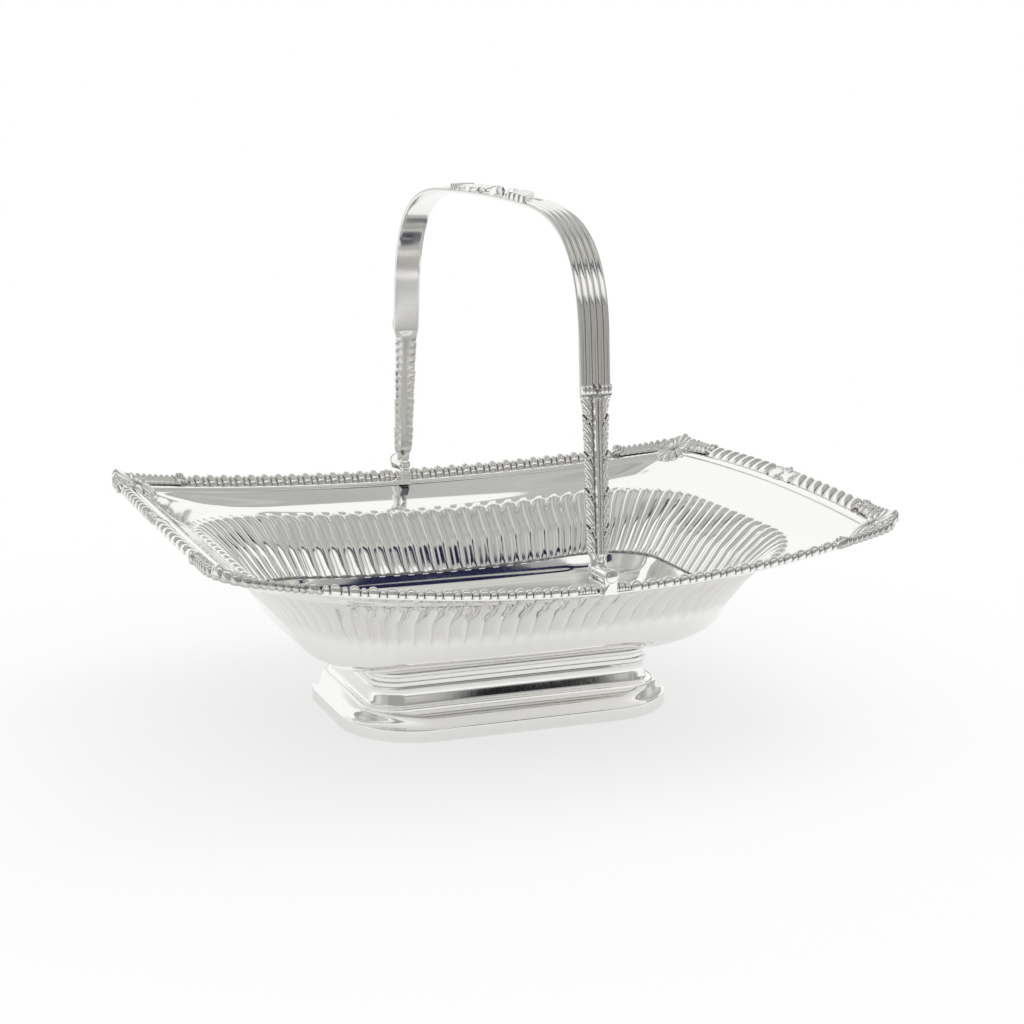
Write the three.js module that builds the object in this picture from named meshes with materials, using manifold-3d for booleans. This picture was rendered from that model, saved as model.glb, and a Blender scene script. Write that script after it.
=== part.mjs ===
// Silver cake basket with a swing handle, in millimetres, +Z up.
// The origin is the middle of the foot's underside. +X runs along the basket, and the handle
// swings about a line parallel to Y through its two hinge pins.
import * as THREE from 'three';
import { mergeVertices } from 'three/addons/utils/BufferGeometryUtils.js';
import Module from 'manifold-3d';

const wasm = await Module();
wasm.setup();

// Rim outline in plan, at the sheet's edge. The long sides and the ends bow outwards.
const rimHalfLength = 174;
const rimHalfWidth = 146;
const rimSideBow = 27.5;
const rimEndBow = 6.7;
const rimCorner = 18;
// Underside of the edge: its height in the middle of a long side, and how far the ends rise above it
const rimHeight = 90.4;
const rimRise = 13.6;
const endCrest = 1.9;
const endCrestReach = 100;
// Sheet silver, the clearance between soldered pieces, and the slope of the flange at its edge
const sheet = 1.2;
const gap = 0.3;
const edgeSlope = 0.32;
const edgeZone = 12.5;

// Bowl wall: half length, half width, corner radius and bow of the side at each level, from the
// foot up. z is in the middle of a long side, and lift is the share of the rim's rise it takes.
const well = { x: 78, y: 46, corner: 30, bow: 0, z: 32.8, lift: 0 };
const wellTurn = { x: 94, y: 50.5, corner: 24, bow: 0, z: 34.6, lift: 0.1 };
const belly = { x: 103.5, y: 59.5, corner: 28, bow: 0, z: 39, lift: 0.3 };
const bellyTop = { x: 110.5, y: 69.5, corner: 36, bow: 0, z: 45, lift: 0.7 };
const fluteFoot = { x: 115.8, y: 75, corner: 41, bow: 0, z: 49.5, lift: 1 };
const fluteLow = { x: 118, y: 77.3, corner: 42, bow: 0.5, z: 52, lift: 1 };
const fluteMiddle = { x: 128, y: 87, corner: 48.5, bow: 1.5, z: 65, lift: 1 };
const fluteHigh = { x: 138, y: 98.8, corner: 58.5, bow: 2.5, z: 74.8, lift: 1 };
const fluteHead = { x: 143.2, y: 105, corner: 59, bow: 4, z: 77.5, lift: 1 };
const flangeMiddle = { x: 152.5, y: 119, corner: 42, bow: 14, z: 82, lift: 1 };
// Flutes on each long side, round each corner and on each end, and their depth
const flutesPerSide = 18;
const flutesPerCorner = 12;
const flutesPerEnd = 9;
const fluteDepth = 2.3;
// Length of rim, next to each corner, that the wall's corner flutes fan out to
const cornerFlareSide = 34;
const cornerFlareEnd = 25;
const cornerCrowding = 0.6;

// Foot: half length, half width and corner radius of its base, collar and cove
const footHalfLength = 87.4;
const footHalfWidth = 60.7;
const footCorner = 39.7;
const bandHeight = 7;
const bandThickness = 1.8;
const filletInsetEnd = 9;
const filletInsetSide = 14;
const filletHeight = 13.4;
const neckInsetEnd = 13;
const neckInsetSide = 18.2;
const neckCorner = 27;
const collarHeight = 8.2;
const collarThickness = 2;

// Applied border on the flange: raised band, gadroon strips and shells
const raisedBandInset = 7.8;
const raisedBandWidth = 3.5;
const raisedBandHeight = 0.9;
const gadroonWidth = 6.4;
const gadroonHeight = 4.2;
const gadroonPitch = 8.4;
const gadroonOverhang = 0.9;
const gadroonSlant = 3;
const cornerArmSide = 44;
const cornerArmEnd = 35;
const cornerShellRadius = 9.5;
const endShellHalfLength = 13;
const endShellRadius = 7.5;
const shellOverhang = 3.2;
const shellHeight = 5;
const hingeLeafLength = 9;

// Hinges: the pin's height above the edge, and the stack of plates and knuckle along it
const hingeRise = 9.6;
const hingeReach = 6.5;
const hingeLength = 21;
const plateThickness = 2.4;
const plateWidth = 7;
const knuckleRadius = 3.1;
const pinRadius = 1.5;
const pinHeadRadius = 2.5;
const pinHeadHeight = 0.7;

// Handle: its inner face follows a leaning leg, a shoulder and a slightly cambered crown
const legInset = 8.7;
const legLean = 9.6;
const legHeight = 105;
const leafHeight = 79;
const shoulderWidth = 70.8;
const shoulderHeight = 53.3;
const crownCamber = 1.2;
const bailWidth = 14.7;
const bailThickness = 2.6;
const reedCount = 5;
const reedDepth = 0.6;
const leafWidthFoot = 11.6;
const leafFootHeight = 5;
const leafWidthTop = 13.6;
const leafThickness = 3.6;
const leafTeeth = 12;
const leafToothDepth = 0.7;

// Crown ornament, as distances from the middle of the crown along the bail
const wrapLength = 32;
const crownBandLength = 17;
const crownTipLength = 12;
const ornamentHeight = 2.4;
const ornamentSpread = 1;

const silver = { color: 0xdcdcda, roughness: 0.12, metalness: 1 };
const castSilver = { color: 0xd2d1cd, roughness: 0.22, metalness: 1 };

// Geometry helpers

function solidFrom(vertices, triangles) {
  let volume = 0;
  for (const [a, b, c] of triangles) {
    volume += vertices[a].dot(new THREE.Vector3().crossVectors(vertices[b], vertices[c])) / 6;
  }
  const faces = volume < 0 ? triangles.map(([a, b, c]) => [a, c, b]) : triangles;
  const geometry = new THREE.BufferGeometry();
  const positions = vertices.flatMap((v) => [v.x, v.y, v.z]);
  geometry.setAttribute('position', new THREE.Float32BufferAttribute(positions, 3));
  geometry.setIndex(faces.flat());
  return geometry;
}

// Joins two closed rows of vertices. One row may have twice as many vertices as the other.
function stitchRows(low, high, triangles) {
  const count = Math.min(low.length, high.length);
  const lowStep = low.length / count;
  const highStep = high.length / count;
  for (let i = 0; i < count; i += 1) {
    const a = low[i * lowStep];
    const b = low[((i + 1) * lowStep) % low.length];
    const c = high[((i + 1) * highStep) % high.length];
    const d = high[i * highStep];
    if (lowStep === 2) {
      const middle = low[i * 2 + 1];
      triangles.push([a, middle, d], [middle, c, d], [middle, b, c]);
    } else if (highStep === 2) {
      const middle = high[i * 2 + 1];
      triangles.push([a, middle, d], [a, b, middle], [b, c, middle]);
    } else {
      triangles.push([a, b, c], [a, c, d]);
    }
  }
}

// Solid bounded by closed rows of points: a ring when the last row meets the first again,
// otherwise capped by a fan to a point at each end.
function solidOfRows(rows, startPoint, endPoint) {
  const vertices = [];
  const indices = rows.map((row) => row.map((point) => vertices.push(point) - 1));
  const triangles = [];
  for (let i = 0; i + 1 < indices.length; i += 1) {
    stitchRows(indices[i], indices[i + 1], triangles);
  }
  if (startPoint) {
    const start = vertices.push(startPoint) - 1;
    const end = vertices.push(endPoint) - 1;
    indices[0].forEach((a, i, row) => triangles.push([start, row[(i + 1) % row.length], a]));
    indices.at(-1).forEach((a, i, row) => triangles.push([a, row[(i + 1) % row.length], end]));
  } else {
    stitchRows(indices.at(-1), indices[0], triangles);
  }
  return solidFrom(vertices, triangles);
}

// Solid through a run of like sections, each a closed loop of points, with flat ends.
function loft(sections, flatLoop) {
  const vertices = [];
  const indices = sections.map((section) => section.map((point) => vertices.push(point) - 1));
  const triangles = [];
  for (let i = 0; i + 1 < indices.length; i += 1) {
    stitchRows(indices[i], indices[i + 1], triangles);
  }
  const cap = THREE.ShapeUtils.triangulateShape(flatLoop.map(([x, y]) => new THREE.Vector2(x, y)), []);
  const first = indices[0];
  const last = indices.at(-1);
  const turned = THREE.ShapeUtils.isClockWise(flatLoop.map(([x, y]) => new THREE.Vector2(x, y)));
  for (const [a, b, c] of cap) {
    triangles.push(turned ? [first[a], first[b], first[c]] : [first[a], first[c], first[b]]);
    triangles.push(turned ? [last[a], last[c], last[b]] : [last[a], last[b], last[c]]);
  }
  return solidFrom(vertices, triangles);
}

// Evenly spaced values from one number to another, both included
function spread(from, to, steps) {
  return Array.from({ length: steps + 1 }, (unused, i) => THREE.MathUtils.lerp(from, to, i / steps));
}

function toManifold(geometry) {
  const bare = geometry.clone();
  bare.deleteAttribute('normal');
  bare.deleteAttribute('uv');
  const merged = mergeVertices(bare, 1e-4);
  const vertProperties = new Float32Array(merged.getAttribute('position').array);
  const triVerts = new Uint32Array(merged.index.array);
  return new wasm.Manifold(new wasm.Mesh({ numProp: 3, vertProperties, triVerts }));
}

function fromManifold(manifold) {
  const mesh = manifold.getMesh();
  const geometry = new THREE.BufferGeometry();
  geometry.setAttribute('position', new THREE.Float32BufferAttribute(mesh.vertProperties, 3));
  geometry.setIndex([...mesh.triVerts]);
  return geometry;
}

function named(name, geometry, look) {
  geometry.computeVertexNormals();
  const mesh = new THREE.Mesh(geometry, new THREE.MeshStandardMaterial({ ...look, flatShading: true }));
  mesh.name = name;
  return mesh;
}

// Cylinder between two places on a line parallel to Y
function barAlongY(radius, yFrom, yTo, z, sides) {
  const bar = new THREE.CylinderGeometry(radius, radius, Math.abs(yTo - yFrom), sides);
  bar.translate(0, (yFrom + yTo) / 2, z);
  return bar;
}

// Outlines in plan

// One quarter of an outline, from the middle of a long side to the middle of an end. Both are
// parabolas, and the corner between them is rounded.
function quarterOutline({ x, y, corner, bow, endBow = 0 }) {
  const sideX = x - corner;
  const sideY = y - bow * (sideX / x) ** 2;
  const sideSlope = (-2 * bow * sideX) / x ** 2;
  const endY = y - bow - corner;
  const endX = x - endBow * (endY / y) ** 2;
  const endSlope = (-2 * endBow * endY) / y ** 2;
  const tipX = (endX + endSlope * (sideY - sideSlope * sideX - endY)) / (1 - sideSlope * endSlope);
  const tip = new THREE.Vector2(tipX, sideY + sideSlope * (tipX - sideX));
  const round = 0.5523;
  const sidePoint = new THREE.Vector2(sideX, sideY);
  const endPoint = new THREE.Vector2(endX, endY);
  const towardsTip = sidePoint.clone().lerp(tip, round);
  const fromTip = endPoint.clone().lerp(tip, round);
  const path = new THREE.Path();
  path.moveTo(0, y);
  path.quadraticCurveTo(sideX / 2, y, sideX, sideY);
  path.bezierCurveTo(towardsTip.x, towardsTip.y, fromTip.x, fromTip.y, endX, endY);
  path.quadraticCurveTo(x, endY / 2, x, 0);
  return path;
}

const rimOutline = { x: rimHalfLength, y: rimHalfWidth, corner: rimCorner, bow: rimSideBow, endBow: rimEndBow };
const rimQuarter = quarterOutline(rimOutline);
const rimQuarterLength = rimQuarter.getLength();
const [rimSideLength, rimTurnLength] = rimQuarter.curves.map((curve) => curve.getLength());
const cornerPlace = rimSideLength + rimTurnLength / 2;

// Point on a quarter outline and the outward direction there
function onQuarter(path, distance) {
  const share = THREE.MathUtils.clamp(distance / path.getLength(), 0, 1);
  const point = path.getPoint(share);
  const tangent = path.getTangent(share);
  return { point, outward: new THREE.Vector2(-tangent.y, tangent.x) };
}

// Place on the rim at a distance from the middle of the near long side, measured along the edge
// with +X first. It gives the edge point and the outward direction.
function onRim(distance) {
  const whole = rimQuarterLength * 4;
  const place = ((distance % whole) + whole) % whole;
  const quarter = Math.floor(place / rimQuarterLength) % 4;
  const along = place - quarter * rimQuarterLength;
  const back = quarter % 2 === 1;
  const { point, outward } = onQuarter(rimQuarter, back ? rimQuarterLength - along : along);
  const signX = quarter < 2 ? 1 : -1;
  const signY = quarter === 0 || quarter === 3 ? -1 : 1;
  return {
    x: point.x * signX,
    y: point.y * signY,
    outX: outward.x * signX,
    outY: outward.y * signY,
  };
}

// How far the rim and the fluted wall rise at a place in plan
function riseAt(x, y) {
  const along = (x / rimHalfLength) ** 2;
  return rimRise * along + endCrest * along * Math.max(0, 1 - (y / endCrestReach) ** 2);
}

// Height of the flange's upper face at an inset from an edge point
function flangeTop(edge, inset) {
  const face = sheet * Math.hypot(1, edgeSlope);
  return rimHeight + riseAt(edge.x, edge.y) - edgeSlope * inset + face;
}

// Point over the flange: an inset from an edge point and a height above the flange's upper face
function overEdge(edge, inset, height) {
  const z = flangeTop(edge, inset) + height;
  return new THREE.Vector3(edge.x - edge.outX * inset, edge.y - edge.outY * inset, z);
}

function overFlange(distance, inset, height) {
  return overEdge(onRim(distance), inset, height);
}

// Bowl

// Fine stations round a level: each long side, corner and end has two for every flute.
function levelStations(level, flareSide, flareEnd) {
  const path = quarterOutline(level);
  const lengths = path.curves.map((curve) => curve.getLength());
  const sideSpan = lengths[0] - flareSide;
  const endSpan = lengths[2] - flareEnd;
  const cornerSpan = path.getLength() - sideSpan - endSpan;
  const places = [];
  for (let i = 0; i < flutesPerSide; i += 1) {
    places.push((sideSpan * i) / flutesPerSide);
  }
  // Where the corner flares, its stations draw together towards the middle of the turn.
  const even = flareSide > 0 ? cornerCrowding : 1;
  for (let i = 0; i < flutesPerCorner * 2; i += 1) {
    const t = i / flutesPerCorner - 1;
    places.push(sideSpan + (cornerSpan / 2) * (1 + t * (even + (1 - even) * t * t)));
  }
  for (let i = 0; i <= flutesPerEnd; i += 1) {
    places.push(sideSpan + cornerSpan + (endSpan * i) / flutesPerEnd);
  }
  const quarter = places.map((place) => onQuarter(path, place));
  const turn = (signX, signY) => ({ point, outward }) => ({
    x: point.x * signX,
    y: point.y * signY,
    outX: outward.x * signX,
    outY: outward.y * signY,
  });
  const forward = quarter.slice(0, -1);
  const backward = quarter.slice(1).reverse();
  return [
    ...forward.map(turn(1, -1)),
    ...backward.map(turn(1, 1)),
    ...forward.map(turn(-1, 1)),
    ...backward.map(turn(-1, -1)),
  ];
}

const rimStations = levelStations(rimOutline, cornerFlareSide, cornerFlareEnd);
const edgeStations = rimStations.filter((s, i) => i % 2 === 0);

// Underside of the sheet at each level, from the well to the edge, as fine stations
function bowlUnderside() {
  const wallLevels = [well, wellTurn, belly, bellyTop, fluteFoot, fluteLow, fluteMiddle, fluteHigh, fluteHead];
  const rows = wallLevels.map((level) =>
    levelStations(level, 0, 0).map((s) => ({ ...s, z: level.z + level.lift * riseAt(s.x, s.y) })),
  );
  const middle = { ...flangeMiddle, endBow: 2 };
  rows.push(
    levelStations(middle, cornerFlareSide / 2, cornerFlareEnd / 2).map((s) => ({
      ...s,
      z: middle.z + riseAt(s.x, s.y),
    })),
  );
  for (const inset of [edgeZone, 0]) {
    rows.push(
      rimStations.map((s) => ({
        ...s,
        x: s.x - s.outX * inset,
        y: s.y - s.outY * inset,
        z: rimHeight + riseAt(s.x, s.y) - edgeSlope * inset,
      })),
    );
  }
  return rows;
}

function makeBowl() {
  const under = bowlUnderside();
  const flutedRows = [5, 6, 7];
  const last = under.length - 1;
  const faceRow = (row, depth) =>
    under[row].map((s, i) => {
      const before = under[Math.max(row - 1, 0)][i];
      const after = under[Math.min(row + 1, last)][i];
      let run = (after.x - before.x) * s.outX + (after.y - before.y) * s.outY;
      let climb = after.z - before.z;
      // The well is level, and the flange by the edge keeps one slope.
      if (row === 0 || row >= last - 1) {
        run = 1;
        climb = row === 0 ? 0 : edgeSlope;
      }
      const length = Math.hypot(run, climb);
      const ridge = flutedRows.includes(row) && i % 2 === 1 ? fluteDepth : 0;
      const shift = depth + (row === 6 ? ridge : ridge * 0.8);
      const inwards = (climb / length) * shift;
      const up = (run / length) * shift;
      return new THREE.Vector3(s.x - s.outX * inwards, s.y - s.outY * inwards, s.z + up);
    });
  const coarse = (points, row) => (flutedRows.includes(row) ? points : points.filter((p, i) => i % 2 === 0));
  const outer = under.map((stations, row) => coarse(faceRow(row, 0), row));
  const inner = under.map((stations, row) => coarse(faceRow(row, sheet), row)).reverse();
  const floorUnder = new THREE.Vector3(0, 0, well.z);
  const floorOver = new THREE.Vector3(0, 0, well.z + sheet);
  return named('bowl', solidOfRows([...outer, ...inner], floorUnder, floorOver), silver);
}

// Foot

function footRow({ x, y, corner, z }) {
  const path = quarterOutline({ x, y, corner, bow: 0 });
  const [sideLength, turnLength] = path.curves.map((curve) => curve.getLength());
  const places = [0];
  const turnSteps = 5;
  for (let i = 0; i <= turnSteps; i += 1) {
    places.push(sideLength + (turnLength * i) / turnSteps);
  }
  const quarter = places.map((place) => onQuarter(path, place).point);
  const end = path.getPoint(1);
  const forward = quarter;
  const backward = [end, ...quarter.slice(1).reverse()];
  const place = (signX, signY) => (p) => new THREE.Vector3(p.x * signX, p.y * signY, z);
  return [
    ...forward.map(place(1, -1)),
    ...backward.map(place(1, 1)),
    ...forward.map(place(-1, 1)),
    ...backward.map(place(-1, -1)),
  ];
}

// Ring whose wall follows a list of levels and has an even thickness
function footRing(name, levels, thickness) {
  const outer = levels.map(footRow);
  const thin = (level) => ({
    ...level,
    x: level.x - thickness,
    y: level.y - thickness,
    corner: level.corner - thickness,
  });
  const inner = levels.map(thin).map(footRow).reverse();
  return named(name, solidOfRows([...outer, ...inner]), silver);
}

function makeFoot() {
  const base = { x: footHalfLength, y: footHalfWidth, corner: footCorner };
  const inset = (end, side, corner, z) => ({ x: base.x - end, y: base.y - side, corner, z });
  const collarTop = well.z - gap;
  const collarBottom = collarTop - collarHeight;
  const coveTop = collarBottom - gap;
  const band = [
    { ...base, z: 0 },
    { ...base, z: bandHeight },
  ];
  const lip = 0.6;
  const waist = (filletHeight + coveTop) / 2;
  const filletCorner = (footCorner + neckCorner) / 2;
  const spread = [
    inset(lip, lip, footCorner - lip, bandHeight + gap),
    inset(filletInsetEnd / 2, filletInsetSide / 2, footCorner - 3, (bandHeight + filletHeight) / 2 + lip),
    inset(filletInsetEnd, filletInsetSide, filletCorner, filletHeight - lip),
    inset(filletInsetEnd, filletInsetSide, filletCorner, filletHeight),
    inset(neckInsetEnd - lip, neckInsetSide - lip, neckCorner + 1, filletHeight + 2),
    inset(neckInsetEnd + lip, neckInsetSide + lip, neckCorner, waist + 1),
    inset(neckInsetEnd, neckInsetSide, neckCorner, coveTop),
  ];
  const step = collarHeight / 4;
  const collar = [
    inset(neckInsetEnd - 0.4, neckInsetSide - 0.4, neckCorner, collarBottom),
    inset(neckInsetEnd - 0.4, neckInsetSide - 0.4, neckCorner, collarBottom + step),
    inset(neckInsetEnd, neckInsetSide, neckCorner, collarBottom + step * 2),
    inset(neckInsetEnd - 0.5, neckInsetSide - 0.5, neckCorner, collarBottom + step * 3),
    inset(neckInsetEnd - 1, neckInsetSide - 1, neckCorner, collarTop),
  ];
  return [
    footRing('foot_band', band, bandThickness),
    footRing('foot_cove', spread, bandThickness),
    footRing('foot_collar', collar, collarThickness),
  ];
}

// Applied border

// Closed ring over the flange, all the way round, between two insets and two heights. It turns
// with the bowl's own stations, so it keeps the same clearance everywhere.
function ringOnFlange(insetFrom, insetTo, heightFrom, heightTo) {
  const corners = [
    [insetTo, heightFrom],
    [insetTo, heightTo],
    [insetFrom, heightTo],
    [insetFrom, heightFrom],
  ];
  return solidOfRows(corners.map(([inset, height]) => edgeStations.map((s) => overEdge(s, inset, height))));
}

// Solid laid on the flange along the edge. sectionAt gives its loop of inset and height pairs.
function alongRim(name, from, to, steps, sectionAt, slant = 0) {
  const sections = [];
  for (let i = 0; i <= steps; i += 1) {
    const share = i / steps;
    const distance = THREE.MathUtils.lerp(from, to, share);
    const lean = slant * Math.min(1, share * steps * 0.25, (1 - share) * steps * 0.25);
    const loop = sectionAt(share, i);
    sections.push(
      loop.map(([inset, height]) => {
        const shift = lean * THREE.MathUtils.clamp(inset / gadroonWidth, 0, 1);
        return overFlange(distance + shift, inset, height + gap);
      }),
    );
  }
  return loft(sections, sectionAt(0, 0));
}

// Gadroon strip: wide and narrow lobes in turn, with a groove between each two
function gadroonStrip(name, from, to, slant = 0) {
  const pairs = Math.max(2, Math.round(Math.abs(to - from) / gadroonPitch));
  const lobeSize = [0.62, 1, 0.62, 0.82];
  const section = (share, i) => {
    const size = lobeSize[i % 4];
    const high = gadroonHeight * size;
    const wide = gadroonWidth - gadroonOverhang;
    const out = -gadroonOverhang * size;
    return [
      [0.5, 0],
      [wide, 0],
      [wide * 0.75, high],
      [wide * 0.15, high * 0.9],
      [out, high * 0.35],
    ];
  };
  return named(name, alongRim(name, from, to, pairs * 4, section, slant), castSilver);
}

// Scallop shell: a ribbed dome over the flange, centred on a place on the rim
function scallop(distance, inset, radius, height) {
  const ribs = 9;
  const centre = overFlange(distance, inset, height + gap);
  const floorCentre = overFlange(distance, inset, gap);
  const edge = onRim(distance);
  const slopeX = edge.outX * edgeSlope;
  const slopeY = edge.outY * edgeSlope;
  const row = (share, rise) => {
    const points = [];
    for (let i = 0; i < ribs * 2; i += 1) {
      const angle = (Math.PI * i) / ribs;
      const reach = radius * share * (i % 2 === 0 ? 1 : 0.88);
      const dx = Math.cos(angle) * reach;
      const dy = Math.sin(angle) * reach;
      const lift = height * rise * (i % 2 === 0 ? 1 : 0.8);
      const along = dy * edge.outX - dx * edge.outY;
      const rim = riseAt(edge.x - edge.outY * along, edge.y + edge.outX * along) - riseAt(edge.x, edge.y);
      const z = floorCentre.z + dx * slopeX + dy * slopeY + rim + lift;
      points.push(new THREE.Vector3(floorCentre.x + dx, floorCentre.y + dy, z));
    }
    return points;
  };
  const raised = 0.35;
  const bottom = row(1, raised);
  const sunk = new THREE.Vector3(floorCentre.x, floorCentre.y, floorCentre.z + height * raised);
  return solidOfRows([bottom, row(0.96, 0.62), row(0.6, 0.95)], sunk, centre);
}

// The mounts' feet stop beside the raised band, and their shells reach over it.
const mountDepth = raisedBandInset - 2 * gap;

// Corner mount: two leaf arms along the edge that swell to a shell at the corner
function cornerShell(name, place, from, to) {
  const steps = 18;
  const section = (share) => {
    const near = 1 - Math.abs(2 * share - 1);
    const swell = THREE.MathUtils.smoothstep(near, 0, 1);
    const depth = THREE.MathUtils.lerp(gadroonWidth - gadroonOverhang, mountDepth, swell);
    const scroll = Math.exp(-(((share - 0.06) / 0.06) ** 2)) + Math.exp(-(((share - 0.94) / 0.06) ** 2));
    const out = THREE.MathUtils.lerp(gadroonOverhang, shellOverhang, Math.max(swell, scroll));
    const high = THREE.MathUtils.lerp(gadroonHeight * 0.8, shellHeight, swell);
    return [
      [0.5, 0],
      [depth, 0],
      [depth * 0.95, high * 0.45],
      [depth * 0.5, high],
      [0, high * 0.9],
      [-out, high * 0.6],
      [-out, high * 0.25],
    ];
  };
  const arms = toManifold(alongRim(name, from, to, steps, section));
  const shell = toManifold(scallop(place, cornerShellRadius - shellOverhang, cornerShellRadius, shellHeight + 1));
  return named(name, fromManifold(arms.add(shell)), castSilver);
}

// Small palmette in the middle of each end
function endShell(name, place) {
  const section = (share) => {
    const swell = Math.sin(Math.PI * share);
    const depth = THREE.MathUtils.lerp(gadroonWidth - gadroonOverhang, mountDepth, swell);
    const high = THREE.MathUtils.lerp(gadroonHeight * 0.7, shellHeight, swell);
    const out = THREE.MathUtils.lerp(gadroonOverhang, shellOverhang, swell);
    return [
      [0.5, 0],
      [depth, 0],
      [depth * 0.6, high],
      [0, high * 0.9],
      [-out, high * 0.4],
    ];
  };
  const length = endShellHalfLength;
  const body = toManifold(alongRim(name, place - length, place + length, 10, section));
  const shell = toManifold(scallop(place, endShellRadius - shellOverhang, endShellRadius, shellHeight + 0.6));
  return named(name, fromManifold(body.add(shell)), castSilver);
}

// Leaf that ends a gadroon strip beside a hinge
function hingeLeaf(name, from, to) {
  const section = (share) => {
    const high = gadroonHeight * (0.7 + 0.5 * Math.sin(Math.PI * share));
    const wide = gadroonWidth - gadroonOverhang;
    return [
      [0.5, 0],
      [wide, 0],
      [wide * 0.7, high],
      [0, high * 0.8],
      [-gadroonOverhang, high * 0.3],
    ];
  };
  return named(name, alongRim(name, from, to, 4, section), castSilver);
}

function makeBorder() {
  const quarter = rimQuarterLength;
  const hingeHalf = plateWidth / 2 + gap;
  const stripStart = hingeHalf + hingeLeafLength + gap;
  const armSide = cornerPlace - cornerArmSide;
  const armEnd = cornerPlace + cornerArmEnd;
  const endPlace = quarter - endShellHalfLength;
  const bandEnd = raisedBandInset + raisedBandWidth;
  const ring = ringOnFlange(raisedBandInset, bandEnd, gap, gap + raisedBandHeight);
  const pieces = [named('raised_band', ring, silver)];
  // Each quarter is named by its long side and its end, and runs forwards or backwards.
  const quarters = [
    { side: 'near', end: 'right', start: 0, sense: 1 },
    { side: 'far', end: 'right', start: 2 * quarter, sense: -1 },
    { side: 'far', end: 'left', start: 2 * quarter, sense: 1 },
    { side: 'near', end: 'left', start: 4 * quarter, sense: -1 },
  ];
  for (const { side, end, start, sense } of quarters) {
    const at = (place) => start + sense * place;
    pieces.push(
      hingeLeaf(`hinge_leaf_${side}_${end}`, at(hingeHalf), at(stripStart - gap)),
      gadroonStrip(`gadroon_${side}_${end}`, at(stripStart), at(armSide - gap)),
      cornerShell(`corner_shell_${side}_${end}`, at(cornerPlace), at(armSide), at(armEnd)),
      gadroonStrip(`gadroon_${end}_${side}`, at(armEnd + gap), at(endPlace - gap), sense * gadroonSlant),
    );
  }
  pieces.push(endShell('end_shell_right', quarter), endShell('end_shell_left', 3 * quarter));
  return pieces;
}

// Hinges

const pinHeight = rimHeight + hingeRise;
const hingeOuter = rimHalfWidth + hingeReach;
const hingeInner = hingeOuter - hingeLength;
const knuckleOuter = hingeOuter - plateThickness - gap;
const knuckleInner = hingeInner + plateThickness + gap;
const boreRadius = pinRadius + gap;

// Upright plate with a round head about the pin, between two places along Y
function hingePlate(yFrom, yTo, bottom) {
  const half = plateWidth / 2;
  const shape = new THREE.Shape();
  shape.moveTo(-half, bottom);
  shape.lineTo(half, bottom);
  shape.lineTo(half, pinHeight);
  shape.absarc(0, pinHeight, half, 0, Math.PI, false);
  shape.closePath();
  const plate = new THREE.ExtrudeGeometry(shape, { depth: yTo - yFrom, bevelEnabled: false, curveSegments: 8 });
  plate.rotateX(Math.PI / 2);
  plate.translate(0, yTo, 0);
  return toManifold(plate);
}

// Fixed bracket on the far side: a strap over the flange and a plate at each end of the knuckle
function makeBracket(name, turn) {
  const edge = { x: 0, y: rimHalfWidth };
  const seat = raisedBandHeight + 2 * gap;
  const seatAt = (y) => flangeTop(edge, rimHalfWidth - y) + seat;
  const strapTop = pinHeight - knuckleRadius - 2 * gap;
  const strapOuter = hingeOuter - plateThickness;
  const strapInner = hingeInner + plateThickness;
  const profile = new THREE.Shape();
  profile.moveTo(hingeInner, seatAt(hingeInner));
  profile.lineTo(rimHalfWidth + gap, seatAt(rimHalfWidth + gap));
  profile.lineTo(rimHalfWidth + gap, rimHeight + sheet);
  profile.lineTo(hingeOuter, rimHeight + sheet);
  profile.lineTo(hingeOuter, strapTop);
  profile.lineTo(hingeInner, strapTop);
  profile.closePath();
  const strap = new THREE.ExtrudeGeometry(profile, { depth: plateWidth, bevelEnabled: false });
  strap.rotateX(Math.PI / 2);
  strap.rotateZ(Math.PI / 2);
  strap.translate(-plateWidth / 2, 0, 0);
  const outerPlate = hingePlate(strapOuter, hingeOuter, rimHeight + sheet);
  const innerPlate = hingePlate(hingeInner, strapInner, seatAt(hingeInner) + gap);
  const bore = toManifold(barAlongY(boreRadius, hingeInner - 1, hingeOuter + 1, pinHeight, 16));
  const bracket = fromManifold(toManifold(strap).add(outerPlate).add(innerPlate).subtract(bore));
  bracket.rotateZ(turn);
  return named(name, bracket, silver);
}

function makePin(name, turn) {
  const shank = toManifold(barAlongY(pinRadius, hingeInner - gap, hingeOuter + gap * 2, pinHeight, 12));
  const headStart = hingeOuter + gap;
  const head = toManifold(barAlongY(pinHeadRadius, headStart, headStart + pinHeadHeight, pinHeight, 16));
  const pin = fromManifold(shank.add(head));
  pin.rotateZ(turn);
  return named(name, pin, silver);
}

// Handle

const legFootY = rimHalfWidth - legInset;
const legTopY = legFootY - legLean;
const legTopZ = pinHeight + legHeight;
const crownEndY = legTopY - shoulderWidth;
const crownEndZ = legTopZ + shoulderHeight;
const crownZ = crownEndZ + crownCamber;

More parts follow.
